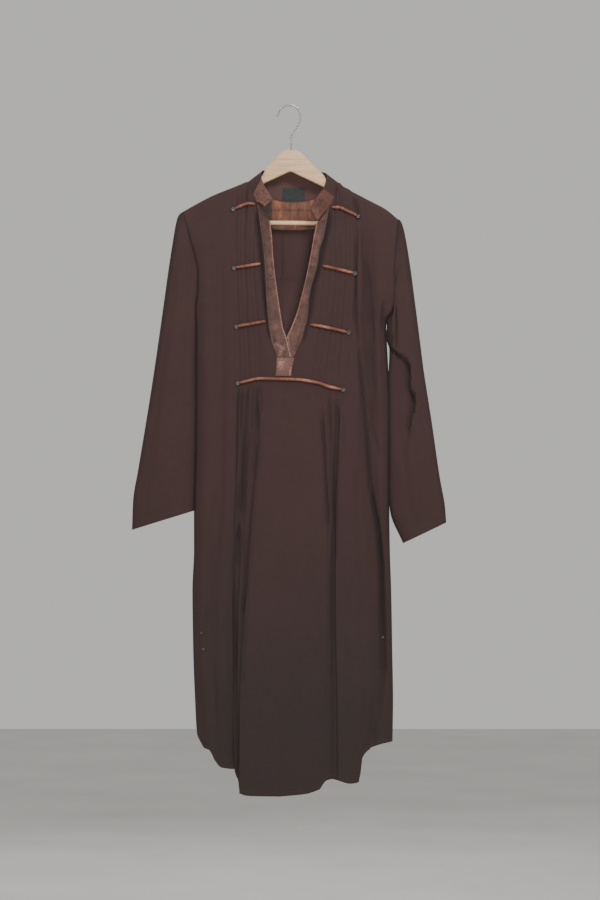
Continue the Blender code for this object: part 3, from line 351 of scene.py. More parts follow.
# Pintucks from the shoulder to the long piping: (height, lean, line), a line being (drop, x)
TUCKS = {
    -1: (
        (1.12, 1.0, ((165, -103), (203, -103.5), (262, -104.6), (308, -102.5), (416, -99.2),
                     (515, -96.5))),
        (0.89, 0.8, ((158, -95), (203, -95.9), (262, -97.1), (308, -96.4), (417, -91),
                     (515, -88.6))),
        (1.36, 1.2, ((156, -85), (203, -86.4), (262, -88), (308, -86.6), (417, -83.1),
                     (512, -78.5))),
        (0.83, 0.8, ((160, -78), (203, -79), (262, -80.3), (308, -79), (417, -72.6),
                     (510, -68.5))),
        (1.24, 1.0, ((200, -67.5), (232, -68.2), (262, -71.9), (308, -71.4), (417, -62.4),
                     (508, -59.3))),
        (0.83, 0.8, ((245, -60), (278, -61), (308, -62.8), (417, -52.8), (505, -47.5))),
    ),
    1: (
        (1.36, 1.2, ((160, 97), (203, 114.7), (250, 116), (297, 118.4), (321, 119.6), (406, 114.4),
                     (515, 101))),
        (0.76, 1.0, ((158, 93), (203, 106), (297, 108.2), (406, 104.6), (515, 95.5))),
        (1.21, 1.1, ((156, 90), (203, 99.5), (250, 101), (297, 100.4), (406, 94), (515, 85.5))),
        (0.76, 0.9, ((165, 86), (203, 88.4), (297, 90), (406, 83.4), (515, 72))),
        (1.21, 1.2, ((185, 79), (203, 79.6), (250, 80), (297, 82), (406, 74.5), (515, 60.8))),
        (0.68, 0.9, ((235, 70), (297, 69.6), (406, 63.6), (515, 49))),
        (0.91, 0.8, ((300, 59.5), (350, 56), (406, 52.4), (505, 38))),
    ),
}

# Folds placed on the front: (height, width left, width right, fade, line), the line
# running down as (drop, x) and fading out at its ends
FRONT_FOLDS = {
    -1: (
        # beside the band
        (-4.4, 4.6, 1.9, 14, ((206, -65.5), (235, -62), (257, -59.6), (299, -55.2), (340, -51.6),
                              (372, -48.6))),
        (-3.0, 3.2, 1.6, 12, ((372, -48.6), (400, -46.2), (440, -40.5))),
        # released pleats that run into the deep fold
        (-3.8, 1.8, 4.2, 12, ((532, -99.5), (575, -100.5), (622, -101.5), (700, -102.5),
                              (775, -105), (850, -107), (935, -107), (1020, -106), (1110, -107.5),
                              (1200, -108), (1275, -104))),
        (-3.7, 2.4, 4.5, 12, ((532, -81), (634, -87), (709, -91), (775, -95.1), (818, -99.6))),
        (2.4, 3.0, 2.0, 14, ((534, -87.5), (634, -93), (709, -95), (760, -94.5))),
        (4.0, 3.6, 3.4, 50, ((740, -94.5), (853, -93), (940, -96), (1023, -97.8), (1110, -99))),
        (-3.5, 4.0, 1.7, 12, ((532, -62.8), (565, -62.4), (613, -61), (688, -66.8), (775, -73.8),
                              (850, -80), (905, -84), (950, -89))),
        (-2.2, 1.6, 3.0, 8, ((530, -57.5), (556, -57.3), (588, -57.8))),
        (-2.0, 1.6, 3.0, 10, ((528, -91.5), (570, -93), (620, -95))),
        (-2.0, 1.6, 3.0, 10, ((528, -73), (565, -73.5), (610, -76))),
        (-0.9, 2.0, 5.0, 12, ((528, -44), (570, -40), (630, -38))),
        # plain left side
        (1.6, 9, 14, 40, ((240, -160), (420, -158), (640, -161), (880, -166), (1080, -162))),
        (-1.7, 8, 8, 30, ((300, -130), (520, -127), (700, -130), (850, -137))),
        (1.2, 8, 6, 20, ((731, -133.5), (790, -146), (838, -156.6))),
        (-1.6, 5, 7, 18, ((726, -140), (790, -152), (842, -163))),
        (-1.4, 3, 4, 5, ((1128, -126), (1139, -129.7), (1150, -136))),
        (-1.3, 4, 6, 14, ((1050, -146), (1110, -143), (1180, -139))),
        (1.0, 5, 7, 20, ((925, -172), (1020, -168), (1120, -160), (1190, -156))),
        (-1.1, 3, 5, 9, ((948, -158), (985, -164), (1022, -172))),
        # middle panel
        (1.3, 22, 26, 70, ((620, -48), (820, -56), (1050, -60), (1290, -62))),
        (-1.1, 16, 18, 60, ((700, -22), (900, -30), (1100, -36), (1290, -38))),
        (-0.9, 4, 6, 40, ((545, -14), (700, -16), (905, -20))),
        (0.7, 5, 5, 50, ((560, -30), (760, -40), (980, -46))),
        (-0.8, 5, 4, 50, ((960, -12), (1090, -16), (1240, -22))),
    ),
    1: (
        (-4.4, 1.9, 5.2, 14, ((200, 73.5), (243, 66.4), (257, 62.4), (299, 53.4), (350, 40.4),
                              (391, 35.6))),
        (-3.0, 1.6, 3.2, 12, ((391, 35.6), (421, 28.6), (445, 22))),
        # released pleats
        (-3.2, 5.5, 1.6, 20, ((585, 59.5), (635, 62.2), (709, 66), (752, 69.2), (800, 73))),
        (-2.5, 4.5, 1.6, 20, ((560, 86.5), (602, 89), (656, 88), (709, 85.4), (775, 83.6),
                              (853, 83))),
        (1.6, 2.0, 3.5, 12, ((600, 71), (656, 72.5), (720, 75), (790, 78))),
        (-1.7, 2.5, 1.6, 12, ((535, 71), (580, 73), (630, 75.5))),
        (-1.2, 3.0, 1.8, 10, ((532, 48), (575, 50), (640, 52))),
        (-1.2, 3.0, 1.6, 10, ((545, 95), (590, 97), (640, 99))),
        (-0.8, 4.0, 2.5, 12, ((528, 34), (575, 30), (625, 27))),
        # from the shoulder down the right side
        (-3.8, 4.2, 2.4, 12, ((176, 119.5), (203, 126), (262, 123.5), (327, 121.5), (382, 121.5),
                              (451, 128.5), (506, 133.5), (553, 139), (635, 144.4), (699, 148.5),
                              (752, 156), (795, 164.9), (853, 169.5), (972, 171), (1060, 172))),
        (1.3, 3.4, 6.0, 14, ((196, 128), (262, 127), (382, 125), (451, 132), (553, 142.5),
                             (699, 152.4), (795, 168), (853, 174))),
        (-2.0, 5.5, 3.0, 16, ((225, 126), (269, 134.5), (329, 145), (397, 151), (446, 154.5))),
        (-1.6, 4.5, 3.2, 16, ((552, 150), (605, 152.3), (645, 162.8), (692, 171))),
        (1.5, 7, 8, 30, ((270, 158), (420, 163), (560, 166), (700, 172))),
        (-1.7, 6, 8, 24, ((455, 146), (560, 158), (620, 166))),
        # the cloth bulges at the underarm
        (3.4, 5, 5, 7, ((376, 187), (386, 184), (395, 179))),
        (-1.6, 3, 3, 8, ((366, 177), (385, 173), (404, 171.5))),
        (-1.8, 5, 6, 20, ((690, 122), (800, 128), (905, 132), (1010, 131))),
        (1.3, 8, 9, 30, ((640, 112), (800, 112), (960, 114), (1130, 112))),
        (-2.4, 5, 6, 16, ((1120, 152), (1154, 153.6), (1190, 155.1))),
        (-1.4, 3, 6, 14, ((1030, 141), (1110, 137), (1185, 133))),
        (1.2, 22, 24, 70, ((640, 30), (840, 30), (1050, 26), (1290, 20))),
        (-0.9, 5, 4, 40, ((540, 14), (690, 15), (860, 17))),
        (-0.8, 4, 6, 50, ((880, 38), (1040, 40), (1220, 44))),
        (-1.4, 7, 8, 40, ((860, 156), (1000, 160), (1130, 163))),
    ),
}

# The back's folds, the same way
BACK_CREASES = (
    (-3.0, 1.2, 3.5, 10, ((327, -15), (420, -14), (530, -12), (700, -9))),
    (-2.8, 3.5, 1.2, 10, ((327, 36), (420, 34), (530, 31), (700, 27))),
    (2.7, 12, 12, 40, ((260, -132), (520, -128), (800, -126), (1100, -131))),
    (-3.0, 6, 9, 40, ((420, -96), (640, -101), (900, -104), (1240, -99))),
    (2.8, 10, 12, 40, ((380, 98), (640, 103), (900, 106), (1230, 101))),
    (-3.4, 7, 6, 30, ((250, 148), (420, 143), (640, 147), (860, 152))),
    (-2.3, 5, 7, 16, ((610, -60), (700, -72), (800, -79))),
    (-2.5, 6, 5, 18, ((700, 62), (790, 71), (900, 77))),
    (2.1, 8, 9, 30, ((820, 8), (1000, 12), (1270, 15))),
)
# Creases that run across the back: the line is (x, drop)
BACK_LEVEL_CREASES = (
    (-0.9, 1.0, 1.6, 10, ((-178, 323), (-60, 323.4), (60, 323.2), (180, 323))),
    (-1.0, 4, 5, 10, ((-120, 905), (-95, 911), (-60, 908))),
)

# The folds on the fronts and on the backs of the sleeves
SLEEVE_FOLDS = {
    -1: (
        (1.5, 8, 9, 20, ((262, -201), (330, -208), (430, -219), (560, -237), (690, -254))),
        (-1.6, 5, 8, 16, ((275, -192), (330, -189), (392, -190), (470, -198), (560, -210))),
        (-1.3, 5, 6, 14, ((430, -232), (500, -243), (590, -256), (660, -266))),
        (-1.2, 4, 6, 12, ((560, -196), (620, -205), (700, -213), (752, -216))),
        (1.2, 6, 6, 14, ((600, -226), (680, -238), (762, -247))),
        (-1.1, 4, 5, 8, ((500, -206), (528, -217), (550, -229))),
        (-1.0, 4, 5, 8, ((455, -212), (478, -222), (500, -231))),
        (-1.0, 3, 5, 10, ((700, -268), (740, -272), (785, -276))),
    ),
    1: (
        (-3.4, 1.6, 2.2, 8, ((380, 196.2), (397, 196.2), (452, 196.6))),
        (1.6, 7, 8, 20, ((270, 213), (360, 217), (450, 224), (470, 226))),
        (-1.6, 5, 6, 12, ((300, 196), (340, 193), (385, 191))),
        (2.6, 1.6, 7, 8, ((446, 184), (456, 192.5), (470, 206), (481, 220), (493, 226.5),
                          (528, 226.5), (552, 236), (571, 234.6), (590, 229), (612, 225))),
        (-3.0, 6, 1.5, 8, ((448, 181), (458, 189.5), (466, 197), (481, 214.5), (493, 220.5),
                           (528, 221), (552, 230), (571, 229), (590, 223.5), (612, 219.5))),
        (1.6, 3.5, 6, 12, ((600, 236), (640, 236), (700, 243), (770, 250))),
        (-1.5, 4, 6, 12, ((520, 241), (600, 250), (680, 262), (740, 270))),
        (-1.6, 4, 5, 10, ((640, 204), (680, 213), (740, 222), (790, 229))),
        (1.1, 6, 7, 14, ((640, 224), (700, 231), (780, 240))),
        (-1.0, 3, 5, 8, ((590, 202), (630, 207), (655, 213))),
    ),
}
SLEEVE_BACK_FOLDS = {
    -1: (
        (-1.5, 6, 8, 20, ((280, -204), (380, -209), (480, -222), (580, -236))),
        (1.4, 7, 8, 20, ((320, -192), (460, -203), (620, -226), (740, -240))),
        (-1.3, 5, 6, 14, ((430, -196), (500, -207), (560, -222))),
        (-1.2, 5, 6, 14, ((600, -256), (690, -268), (770, -276))),
        (-1.0, 4, 5, 8, ((520, -216), (548, -228), (570, -241))),
    ),
    1: (
        (-1.5, 6, 8, 20, ((290, 208), (390, 213), (500, 228), (600, 242))),
        (1.4, 7, 8, 20, ((330, 198), (470, 208), (620, 228), (750, 248))),
        (-1.3, 5, 6, 14, ((440, 200), (510, 211), (575, 226))),
        (-1.2, 5, 6, 14, ((610, 258), (700, 268), (770, 276))),
    ),
}

# Painted shade beside the bands, the armholes, the side seams and the sleeves' seams:
# (strength, width), and the drops between which it comes and goes
BAND_PAINTED_SHADE = (0.75, 4.6, (194, 215, 375, 430))
ARM_PAINTED_SHADE = (0.45, 2.2, (215, 250, 385, 400))
SIDE_PAINTED_SHADE = (0.9, 3.6, (390, 405, 755, 768))
SLEEVE_PAINTED_SHADE = (0.5, 2.6)
# Lines of painted shade, on the front and on the sleeves, a negative strength taking some away:
# (strength, width, fade, line as (drop, x))
FRONT_LINES = {
    -1: ((0.3, 13, 14, ((536, -92), (640, -93), (760, -97), (860, -101))),
         (0.3, 7, 10, ((534, -66), (600, -66), (690, -71))),
         (0.3, 9, 24, ((850, -108), (1000, -113), (1150, -113), (1290, -110))),
         (-0.45, 4, 20, ((862, -101), (940, -103), (1100, -104), (1290, -103))),
         (0.33, 3, 14, ((630, -61), (656, -64.8), (703, -68.6), (747, -72), (790, -76), (834, -80),
                        (890, -84), (950, -87), (1000, -90), (1080, -96)))),
    1: ((0.6, 2.4, 8, ((372, 172), (395, 170.5), (420, 171))),
        (0.22, 11, 14, ((560, 74), (660, 76), (800, 78))),
        (-0.35, 4, 24, ((790, 80), (1000, 82), (1150, 84), (1290, 85))),
        (0.3, 7, 20, ((470, 129), (640, 146), (760, 160), (860, 170), (1000, 172)))),
}
SLEEVE_LINES = {
    -1: (),
    1: ((0.7, 1.5, 8, ((378, 196), (397, 196), (462, 196.4))),
        (0.5, 2.0, 6, ((446, 180.5), (462, 194.5), (473, 206), (481, 216), (493, 223), (528, 223),
                       (552, 231.5), (571, 230), (590, 224.5), (612, 220)))),
}


# Small creases on the leather: (height, width, place across, place down, reach, lean)
BAND_CREASES = {
    -1: ((-0.35, 1.6, 0.5, 232, 0.5, 6), (-0.3, 1.3, 0.3, 244, 0.4, -5),
         (0.3, 3.0, 0.6, 262, 0.5, 8), (-0.3, 1.4, 0.6, 289, 0.4, 5),
         (-0.25, 1.6, 0.4, 318, 0.5, -6), (0.25, 3.0, 0.5, 342, 0.5, 4),
         (-0.3, 1.4, 0.5, 371, 0.4, 7), (-0.25, 1.6, 0.6, 398, 0.5, -4),
         (0.7, 2.4, 0.35, 437, 0.4, 12), (-1.1, 1.2, 0.4, 444.5, 0.42, 13),
         (0.8, 2.2, 0.4, 449.5, 0.42, 13), (0.8, 7.0, 0.66, 462, 0.12, -150)),
    1: ((-0.35, 1.6, 0.5, 236, 0.5, -6), (0.3, 3.0, 0.5, 258, 0.5, -8),
        (-0.3, 1.4, 0.5, 281, 0.4, 5), (-0.25, 1.6, 0.4, 307, 0.5, -6),
        (0.25, 3.0, 0.5, 330, 0.5, 6), (-0.3, 1.4, 0.5, 352, 0.4, -7),
        (-0.25, 1.6, 0.6, 388, 0.5, 5), (-0.3, 1.4, 0.4, 418, 0.4, -6),
        (-0.35, 1.6, 0.5, 446, 0.5, -7)),
}
TAB_CREASES = ((0.8, 9, 0.27, 13, 0.13, 0), (0.8, 6, 0.7, 26, 0.11, 0),
               (-0.4, 1.6, 0.5, 18, 0.3, -3))
COLLAR_CREASES = {
    "collar_left": ((-0.4, 2.0, 0.4, 16, 0.3, 10), (0.3, 3.5, 0.7, 24, 0.3, -8),
                    (-0.3, 1.8, 0.85, 12, 0.15, 14)),
    "collar_right": ((-0.4, 2.0, 0.5, 20, 0.3, -10), (0.3, 3.5, 0.7, 14, 0.3, 8),
                     (-0.3, 1.8, 0.2, 27, 0.2, -12)),
}
# The facing's wrinkles, placed like the front's folds, and the ones that run across
FACING_FOLDS = (
    (-0.7, 2.0, 3.0, 5, ((186, -30), (200, -27), (222, -31))),
    (0.6, 3.0, 2.0, 5, ((188, -22), (204, -20), (220, -23))),
    (-0.6, 2.0, 3.0, 5, ((190, -9), (206, -11), (224, -8))),
    (0.6, 4.0, 3.0, 5, ((190, 0), (208, 2), (226, 0))),
    (-0.7, 2.0, 3.5, 5, ((190, 10), (204, 12), (224, 9))),
    (0.5, 3.0, 3.0, 5, ((188, 21), (206, 19), (222, 23))),
    (-0.6, 3.0, 2.0, 5, ((186, 31), (202, 29), (220, 33))),
)
FACING_LEVEL_FOLDS = (
    (-0.9, 0.8, 0.8, 6, ((-42, 193.5), (0, 195.5), (46, 194.5))),
    (0.4, 1.5, 1.5, 5, ((-30, 206), (-5, 209), (20, 206))),
    (-0.5, 1.2, 1.6, 6, ((-26, 214), (0, 212), (28, 215))),
)
# Where the corded pipings bulge: (share of the way along, width, height)
CORD_SWELLS = (
    (0.04, 2.6, 0.28), (0.13, 2.0, -0.3), (0.22, 3.4, 0.32), (0.33, 2.2, -0.28),
    (0.41, 2.8, 0.25), (0.52, 2.0, -0.34), (0.6, 3.6, 0.3), (0.71, 2.4, -0.26),
    (0.8, 2.6, 0.3), (0.9, 2.0, -0.3),
)
# A stud's turned form, from its rim to its middle: (radius, rise)
STUD_PROFILE = (
    (4.1, 0.0), (4.3, 0.5), (4.25, 1.1), (3.95, 1.7), (3.5, 2.0), (3.05, 1.9), (2.7, 1.45),
    (2.4, 1.0), (2.0, 0.85), (1.6, 1.0), (1.2, 1.4), (0.7, 1.65), (0.2, 1.75),
)
# The spacing of a cord's points, and how far its middle line stands off the cloth
CORD_STEP = 1.6
CORD_LIES = 2.6
# The row of stitches round a cuff, counted up from its edge
CUFF_ROW = 3
# Stitches: (pitch, length, radius, how far their middle stands out)
BAND_STITCH = (3.4, 2.3, 0.3, 0.2)
TRIM_STITCH = (3.2, 2.2, 0.28, 0.2)
FACING_STITCH = (3.2, 2.2, 0.25, 0.15)
HEM_STITCH = (3.4, 2.4, 0.24, 0.1)


def smooth(xs, ys, at):
    """Values on a smooth curve through the points, which never overshoots them."""
    xs, ys = np.asarray(xs, float), np.asarray(ys, float)
    at = np.clip(np.asarray(at, float), xs[0], xs[-1])
    step = np.diff(xs)
    slope = np.diff(ys) / step
    turn = np.zeros(len(xs))
    for k in range(1, len(xs) - 1):
        if slope[k - 1] * slope[k] > 0:
            before = 2 * step[k] + step[k - 1]
            after = step[k] + 2 * step[k - 1]
            turn[k] = (before + after) / (before / slope[k - 1] + after / slope[k])
    turn[0], turn[-1] = slope[0], slope[-1]
    k = np.clip(np.searchsorted(xs, at, "right") - 1, 0, len(xs) - 2)
    t = (at - xs[k]) / step[k]
    rise = (3 - 2 * t) * t * t
    start = t * (1 - t) ** 2 * step[k] * turn[k]
    end = -t * t * (1 - t) * step[k] * turn[k + 1]
    return ys[k] + (ys[k + 1] - ys[k]) * rise + start + end


def column(table, number, at):
    """One named column of a table, read off smoothly at its first column's values."""
    return smooth([row[0] for row in table], [row[number] for row in table], at)


def ease(low, high, value):
    """0 at low and 1 at high, with a soft start and end."""
    t = np.clip((value - low) / (high - low), 0, 1)
    return t * t * (3 - 2 * t)


def within(value, *ends):
    """1 between the second and third number, easing to 0 at the first and fourth."""
    return ease(ends[0], ends[1], value) * (1 - ease(ends[2], ends[3], value))


def along(line, fade, value):
    """1 along a line's length, easing to 0 round its two ends."""
    start, end = line[0][0], line[-1][0]
    return within(value, start - fade, start + fade, end - fade, end + fade)


def beside(distance, width):
    """1 on a line, falling to 0 as a bell beside it."""
    return np.exp(-((distance / width) ** 2))


def two_grooves(shares, edge):
    """The sewn channels beside a strip's two edges."""
    return beside(shares - edge, 0.035) + beside(shares - 1 + edge, 0.035)


def distances(line):
    """How far along a line of points each lies."""
    return np.concatenate([[0], np.cumsum(np.linalg.norm(np.diff(line, axis=0), axis=1))])


def point_table(piece):
    """The points of a piece in millimetres, with the direction each faces."""
    return np.array([(*(v.co / MM), *v.normal) for v in piece.data.vertices])


def set_attribute(piece, name, values):
    """A number for each point. A wall's inner side takes the same numbers as its outer."""
    values = np.asarray(values, np.float32).reshape(-1)
    if len(values) < len(piece.data.vertices):
        values = np.concatenate([values, values])
    known = piece.data.attributes.get(name)
    made = known or piece.data.attributes.new(name, "FLOAT", "POINT")
    made.data.foreach_set("value", values)


def numbered(rows, columns):
    """Numbers for the points of a grid."""
    return np.arange(rows * columns).reshape(rows, columns)


def grid_quads(numbers, flip=False, closed=False):
    """Quads over a table of point numbers, rows down and columns across."""
    after = np.roll(numbers, -1, axis=1) if closed else numbers[:, 1:]
    first = numbers if closed else numbers[:, :-1]
    a, b, e, f = first[:-1], first[1:], after[1:], after[:-1]
    return np.stack((a, f, e, b) if flip else (a, b, e, f), axis=-1).reshape(-1, 4)


def point_normals(points, quads):
    """The mean direction of the faces round each point."""
    facing = np.cross(points[quads[:, 2]] - points[quads[:, 0]],
                      points[quads[:, 3]] - points[quads[:, 1]])
    normals = np.zeros_like(points)
    for corner in range(4):
        np.add.at(normals, quads[:, corner], facing)
    return normals / np.maximum(np.linalg.norm(normals, axis=1, keepdims=True), 1e-9)


def facing_of(grid, towards):
    """The facing of each point of a grid, turned towards the direction given."""
    quads = grid_quads(numbered(*grid.shape[:2]))
    facing = point_normals(grid.reshape(-1, 3), quads).reshape(grid.shape)
    return facing if np.sum(facing * towards) > 0 else -facing


def finished(name, work, finish, sharp):
    """An object from a bmesh in metres that rides with the garment."""
    bmesh.ops.recalc_face_normals(work, faces=work.faces)
    mesh = bpy.data.meshes.new(name)
    work.to_mesh(mesh)
    work.free()
    mesh.shade_smooth()
    mesh.set_sharp_from_angle(angle=math.radians(sharp))
    mesh.materials.append(finish)
    made = bpy.data.objects.new(name, mesh)
    bpy.context.scene.collection.objects.link(made)
    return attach(made, "root")


def make_piece(name, points, faces, finish, sharp=50):
    """An object from points in millimetres, its faces turned out."""
    mesh = bpy.data.meshes.new("sheet")
    mesh.from_pydata((np.asarray(points, float) * MM).tolist(), [], faces)
    work = bmesh.new()
    work.from_mesh(mesh)
    bpy.data.meshes.remove(mesh)
    return finished(name, work, finish, sharp)


def wall(name, outer, inner, quads, finish, sharp=50):
    """A closed wall between two sheets of points that share their quads."""
    count = len(outer)
    faces = [tuple(int(i) for i in quad) for quad in quads]
    edges = {(f[k], f[(k + 1) % 4]) for f in faces for k in range(4)}
    faces += [tuple(count + i for i in reversed(f)) for f in faces]
    faces += [(b, a, count + a, count + b) for a, b in sorted(edges) if (b, a) not in edges]
    return make_piece(name, list(outer) + list(inner), faces, finish, sharp)


def keep_in_plane(normals, members, axis):
    """Turns the normals of these points into the plane across one axis."""
    normals[members, axis] = 0
    normals[members] /= np.linalg.norm(normals[members], axis=1, keepdims=True)


def cloth_wall(name, points, normals, rise, quads, fixed, finish):
    """A wall of cloth raised from its points. The fixed ones keep their normals."""
    outer = points + normals * np.reshape(rise, (-1, 1))
    facing = point_normals(outer, quads)
    facing[fixed] = normals[fixed]
    return wall(name, outer, outer - facing * CLOTH, quads, finish), outer, facing


def fold_heights(across, drops, table):
    """How far points are raised by folds listed in a table. A row of the table is
    (height, width left, width right, fade, line), and the line runs down as (drop, x)."""
    total = np.zeros(np.shape(across))
    for height, left, right, fade, line in table:
        off = across - column(line, 1, drops)
        total += height * along(line, fade, drops) * beside(off, np.where(off < 0, left, right))
    return total


def dark_lines(across, drops, table):
    """How much painted shade points get from lines in a table: (strength, width, fade, line)."""
    total = np.zeros(np.shape(across))
    for strength, width, fade, line in table:
        off = across - column(line, 1, drops)
        total += strength * along(line, fade, drops) * beside(off, width)
    return total


def level_rows(side):
    """The level rows' drops on one side: the rows down to the underarm differ."""
    under = UNDERARM[side]
    return np.concatenate([
        np.linspace(LEVEL_TOP, under, ROWS_TO_UNDERARM, endpoint=False),
        np.linspace(under, TIP_DROP, ROWS_TO_TIP, endpoint=False),
        np.linspace(TIP_DROP, LEVEL_LOW, ROWS_TO_LOW)])


def to_hem(levels, hem_drop):
    """The level rows' drops, and below them rows that spread down to the hem."""
    return np.concatenate([levels, levels[-1] + (hem_drop - levels[-1]) * np.array(HEM_SHARES)])


def edge_forward(side, drops):
    """How far front and back part at their side edges: only round the armhole."""
    return np.where(drops >= UNDERARM[side], 0, column(ARM_FORWARD[side], 1, drops))


def lens(inwards):
    """How full the body is between its edge, 0, and its middle, 1."""
    return (1 - (1 - inwards) ** LENS_POWER) ** (1 / LENS_POWER)


def with_shoulder(top, rounding, drops, across, depth):
    """A column of points: rows from the shoulder at top, (x, depth, drop), down to the
    first level row, and then the level rows."""
    x, start, drop = top
    f = np.array(TOP_SHARES)
    upper = drop + (drops[0] - drop) * f
    turn = np.minimum((upper - drop) / SHOULDER_ROUND, 1)
    held = rounding * np.sqrt(1 - (1 - turn) ** 2)
    return np.stack([np.concatenate([x + (across[0] - x) * f, across]),
                     np.concatenate([start + held + (depth[0] - start - rounding) * f, depth]),
                     -np.concatenate([upper, drops])], axis=1)


def add_folds(side, zone, share, drops, across, depth):
    """Moves a column of the front into the side fold and the released folds."""
    if zone < 2:
        deep = ease(0.45, 1, share) if zone == 0 else 1 - ease(0, 0.5, share)
        depth = depth - column(SIDE_FOLD[side], 1, drops) * deep
    if zone == 2:
        hidden, back = (column(RELEASED[side], k, drops) * column(FOLD_FORM[side], k, share)
                        for k in (1, 2))
        waves = math.sin(WAVES_BETWEEN * math.pi * share) ** 2
        across = across - side * hidden
        depth = depth - back - column(RELEASED[side], 3, drops) * waves
    return across, depth


def top_form(zone, share):
    """How far forward the top edge starts, and how much of the shoulder's rounding it has."""
    if zone < 2:
        return 0.0, SHOULDER_ROUND
    if zone == 2:
        starts = float(column(TOP_FORWARD, 1, share))
        return starts, SHOULDER_ROUND * float(1 - ease(NECK_SHARE, 0.8, share))
    return VEE_FORWARD[0] + (VEE_FORWARD[1] - VEE_FORWARD[0]) * share, 0.0


def front_half(side):
    """Points (rows, columns, 3) of one half front, from its side seam to the V edge,
    and where each lies across before the folds move it. Forward is negative y."""
    lines, levels = LINES[side], level_rows(side)
    columns, plain = [], []
    for zone, (shares, top, hem) in enumerate(zip(ZONE_SHARES, TOPS[side], HEMS[side])):
        for share in shares:
            drops = to_hem(levels, column(hem, 1, share))
            start, end = (column(lines[name], 1, drops) for name in ZONE_LINES[zone:zone + 2])
            flat = start + (end - start) * share
            edge, middle = column(lines["edge"], 1, drops), column(lines["vee"], 1, levels[-1])
            full = lens(np.clip((flat - edge) / (middle - edge), 0, 1))
            sides = edge_forward(side, drops)
            depth = sides + (column(FRONT_FORWARD, 1, drops) - sides) * full
            across, depth = add_folds(side, zone, share, drops, flat, depth)
            starts, rounding = top_form(zone, share)
            place = (column(top, 1, share), starts, column(top, 2, share))
            made = with_shoulder(place, rounding, drops, across, depth)
            columns.append(made * (1, -1, 1))
            plain.append(np.concatenate([made[:len(TOP_SHARES), 0], flat]))
    return np.array(columns).transpose(1, 0, 2), np.array(plain).T


def hollows(across, forward, reach=7.0, deep=7.0):
    """How deep each point lies in a valley of its row, from 0 to 1."""
    total = np.zeros(forward.shape)
    for k, line in enumerate(forward):
        near = np.abs(across[k][:, None] - across[k][None, :]) < reach
        raised = np.where(near, line[None, :], -1e9).max(axis=1)
        total[k] = np.where(near, raised[None, :], 1e9).min(axis=1) - line
    return 1 - np.exp(-total / deep)


def seam_painted_shade(off, drops, dust):
    """Painted shade beside a seam: (strength, width, drops between which it comes and goes)."""
    strength, width, ends = dust
    return strength * beside(off, width) * within(drops, *ends)


def front_shade(side, grid):
    """Painted shade on a half front: in its folds, along given lines, and beside band and sleeve.
    """
    across, drops = grid[:, :, 0], -grid[:, :, 2]
    by_band = seam_painted_shade(across - across[:, BAND_COLUMN:BAND_COLUMN + 1], drops, BAND_PAINTED_SHADE)
    by_band[:, BAND_COLUMN:] = 0
    off = across - across[:, :1]
    shade = (hollows(across, -grid[:, :, 1]) + dark_lines(across, drops, FRONT_LINES[side])
             + by_band + seam_painted_shade(off, drops, ARM_PAINTED_SHADE) + seam_painted_shade(off, drops, SIDE_PAINTED_SHADE))
    return np.clip(shade, 0, 1)


def tuck_heights(side, across, drops):
    """The pintucks: each rises slowly from the left and falls steeply on its right."""
    total = np.zeros(np.shape(across))
    deep, away, width = TUCK_GROOVE
    for height, lean, line in TUCKS[side]:
        off = across - column(line, 1, drops)
        shown = within(drops, line[0][0] - 8, line[0][0] + 8, line[-1][0] - 25, line[-1][0] + 40)
        step = beside(off, np.where(off < 0, TUCK_LEAN * lean, TUCK_STEEP))
        total += height * shown * (step - deep * beside(off - away, width))
    return total


def calm_edges(rows, columns, both):
    """How much of its folds each point has: fewer at the shoulder and the side seams."""
    top = np.append(TOP_SHARES, np.ones(rows - len(TOP_SHARES)))
    across = np.ones(columns)
    across[:3] = SEAM_CALM
    if both:
        across[-3:] = SEAM_CALM[::-1]
    return ease(-0.02, 0.2, top)[:, None] * across


def front_panel(finish):
    """The front: two half grids that share their middle column below the V's tip."""
    grids, plains = zip(*(front_half(side) for side in (-1, 1)))
    rows, columns = plains[0].shape
    tip = UNDERARM_ROW + ROWS_TO_TIP
    left = numbered(rows, columns)
    right = left + rows * columns
    right[tip:, -1] = left[tip:, -1]
    rises = []
    for side, grid, plain in zip((-1, 1), grids, plains):
        drops = -grid[:, :, 2]
        rise = fold_heights(plain, drops, FRONT_FOLDS[side]) + tuck_heights(side, plain, drops)
        under_band = (np.arange(columns) >= BAND_COLUMN) & (drops < TAB_DROPS[1])
        rise = rise * calm_edges(rows, columns, False)
        rises.append(np.where(under_band, np.minimum(rise, 0), rise))
    quads = np.concatenate([grid_quads(left), grid_quads(right, flip=True)])
    used = np.unique(quads)
    renumber = np.zeros(2 * rows * columns, int)
    renumber[used] = np.arange(len(used))
    quads, left, right = renumber[quads], renumber[left], renumber[right]
    points = np.concatenate(grids).reshape(-1, 3)[used]
    normals = point_normals(points, quads)
    fixed = []
    for numbers in (left, right):
        for members, axis in ((numbers[UNDERARM_ROW:, 0], 1), (numbers[0, :NECK_COLUMN + 1], 1),
                              (numbers[1:UNDERARM_ROW, 0], 0)):
            keep_in_plane(normals, members, axis)
            fixed.append(members)
    rise = np.concatenate(rises).reshape(-1)[used]
    fixed = np.concatenate(fixed)
    made, outer, _ = cloth_wall("front", points, normals, rise, quads, fixed, finish)
    # Painted shade in the folds, along given lines, and beside band, armhole and side seam
    shade = np.zeros(len(points))
    for side, numbers in ((-1, left), (1, right)):
        shade[numbers] = np.maximum(shade[numbers], front_shade(side, outer[numbers]))
    set_attribute(made, "fold", shade)
    tree = BVHTree.FromPolygons([tuple(p) for p in outer], quads.tolist())
    halves = {side: (points[n], normals[n], outer[n]) for side, n in ((-1, left), (1, right))}
    return made, halves, tree


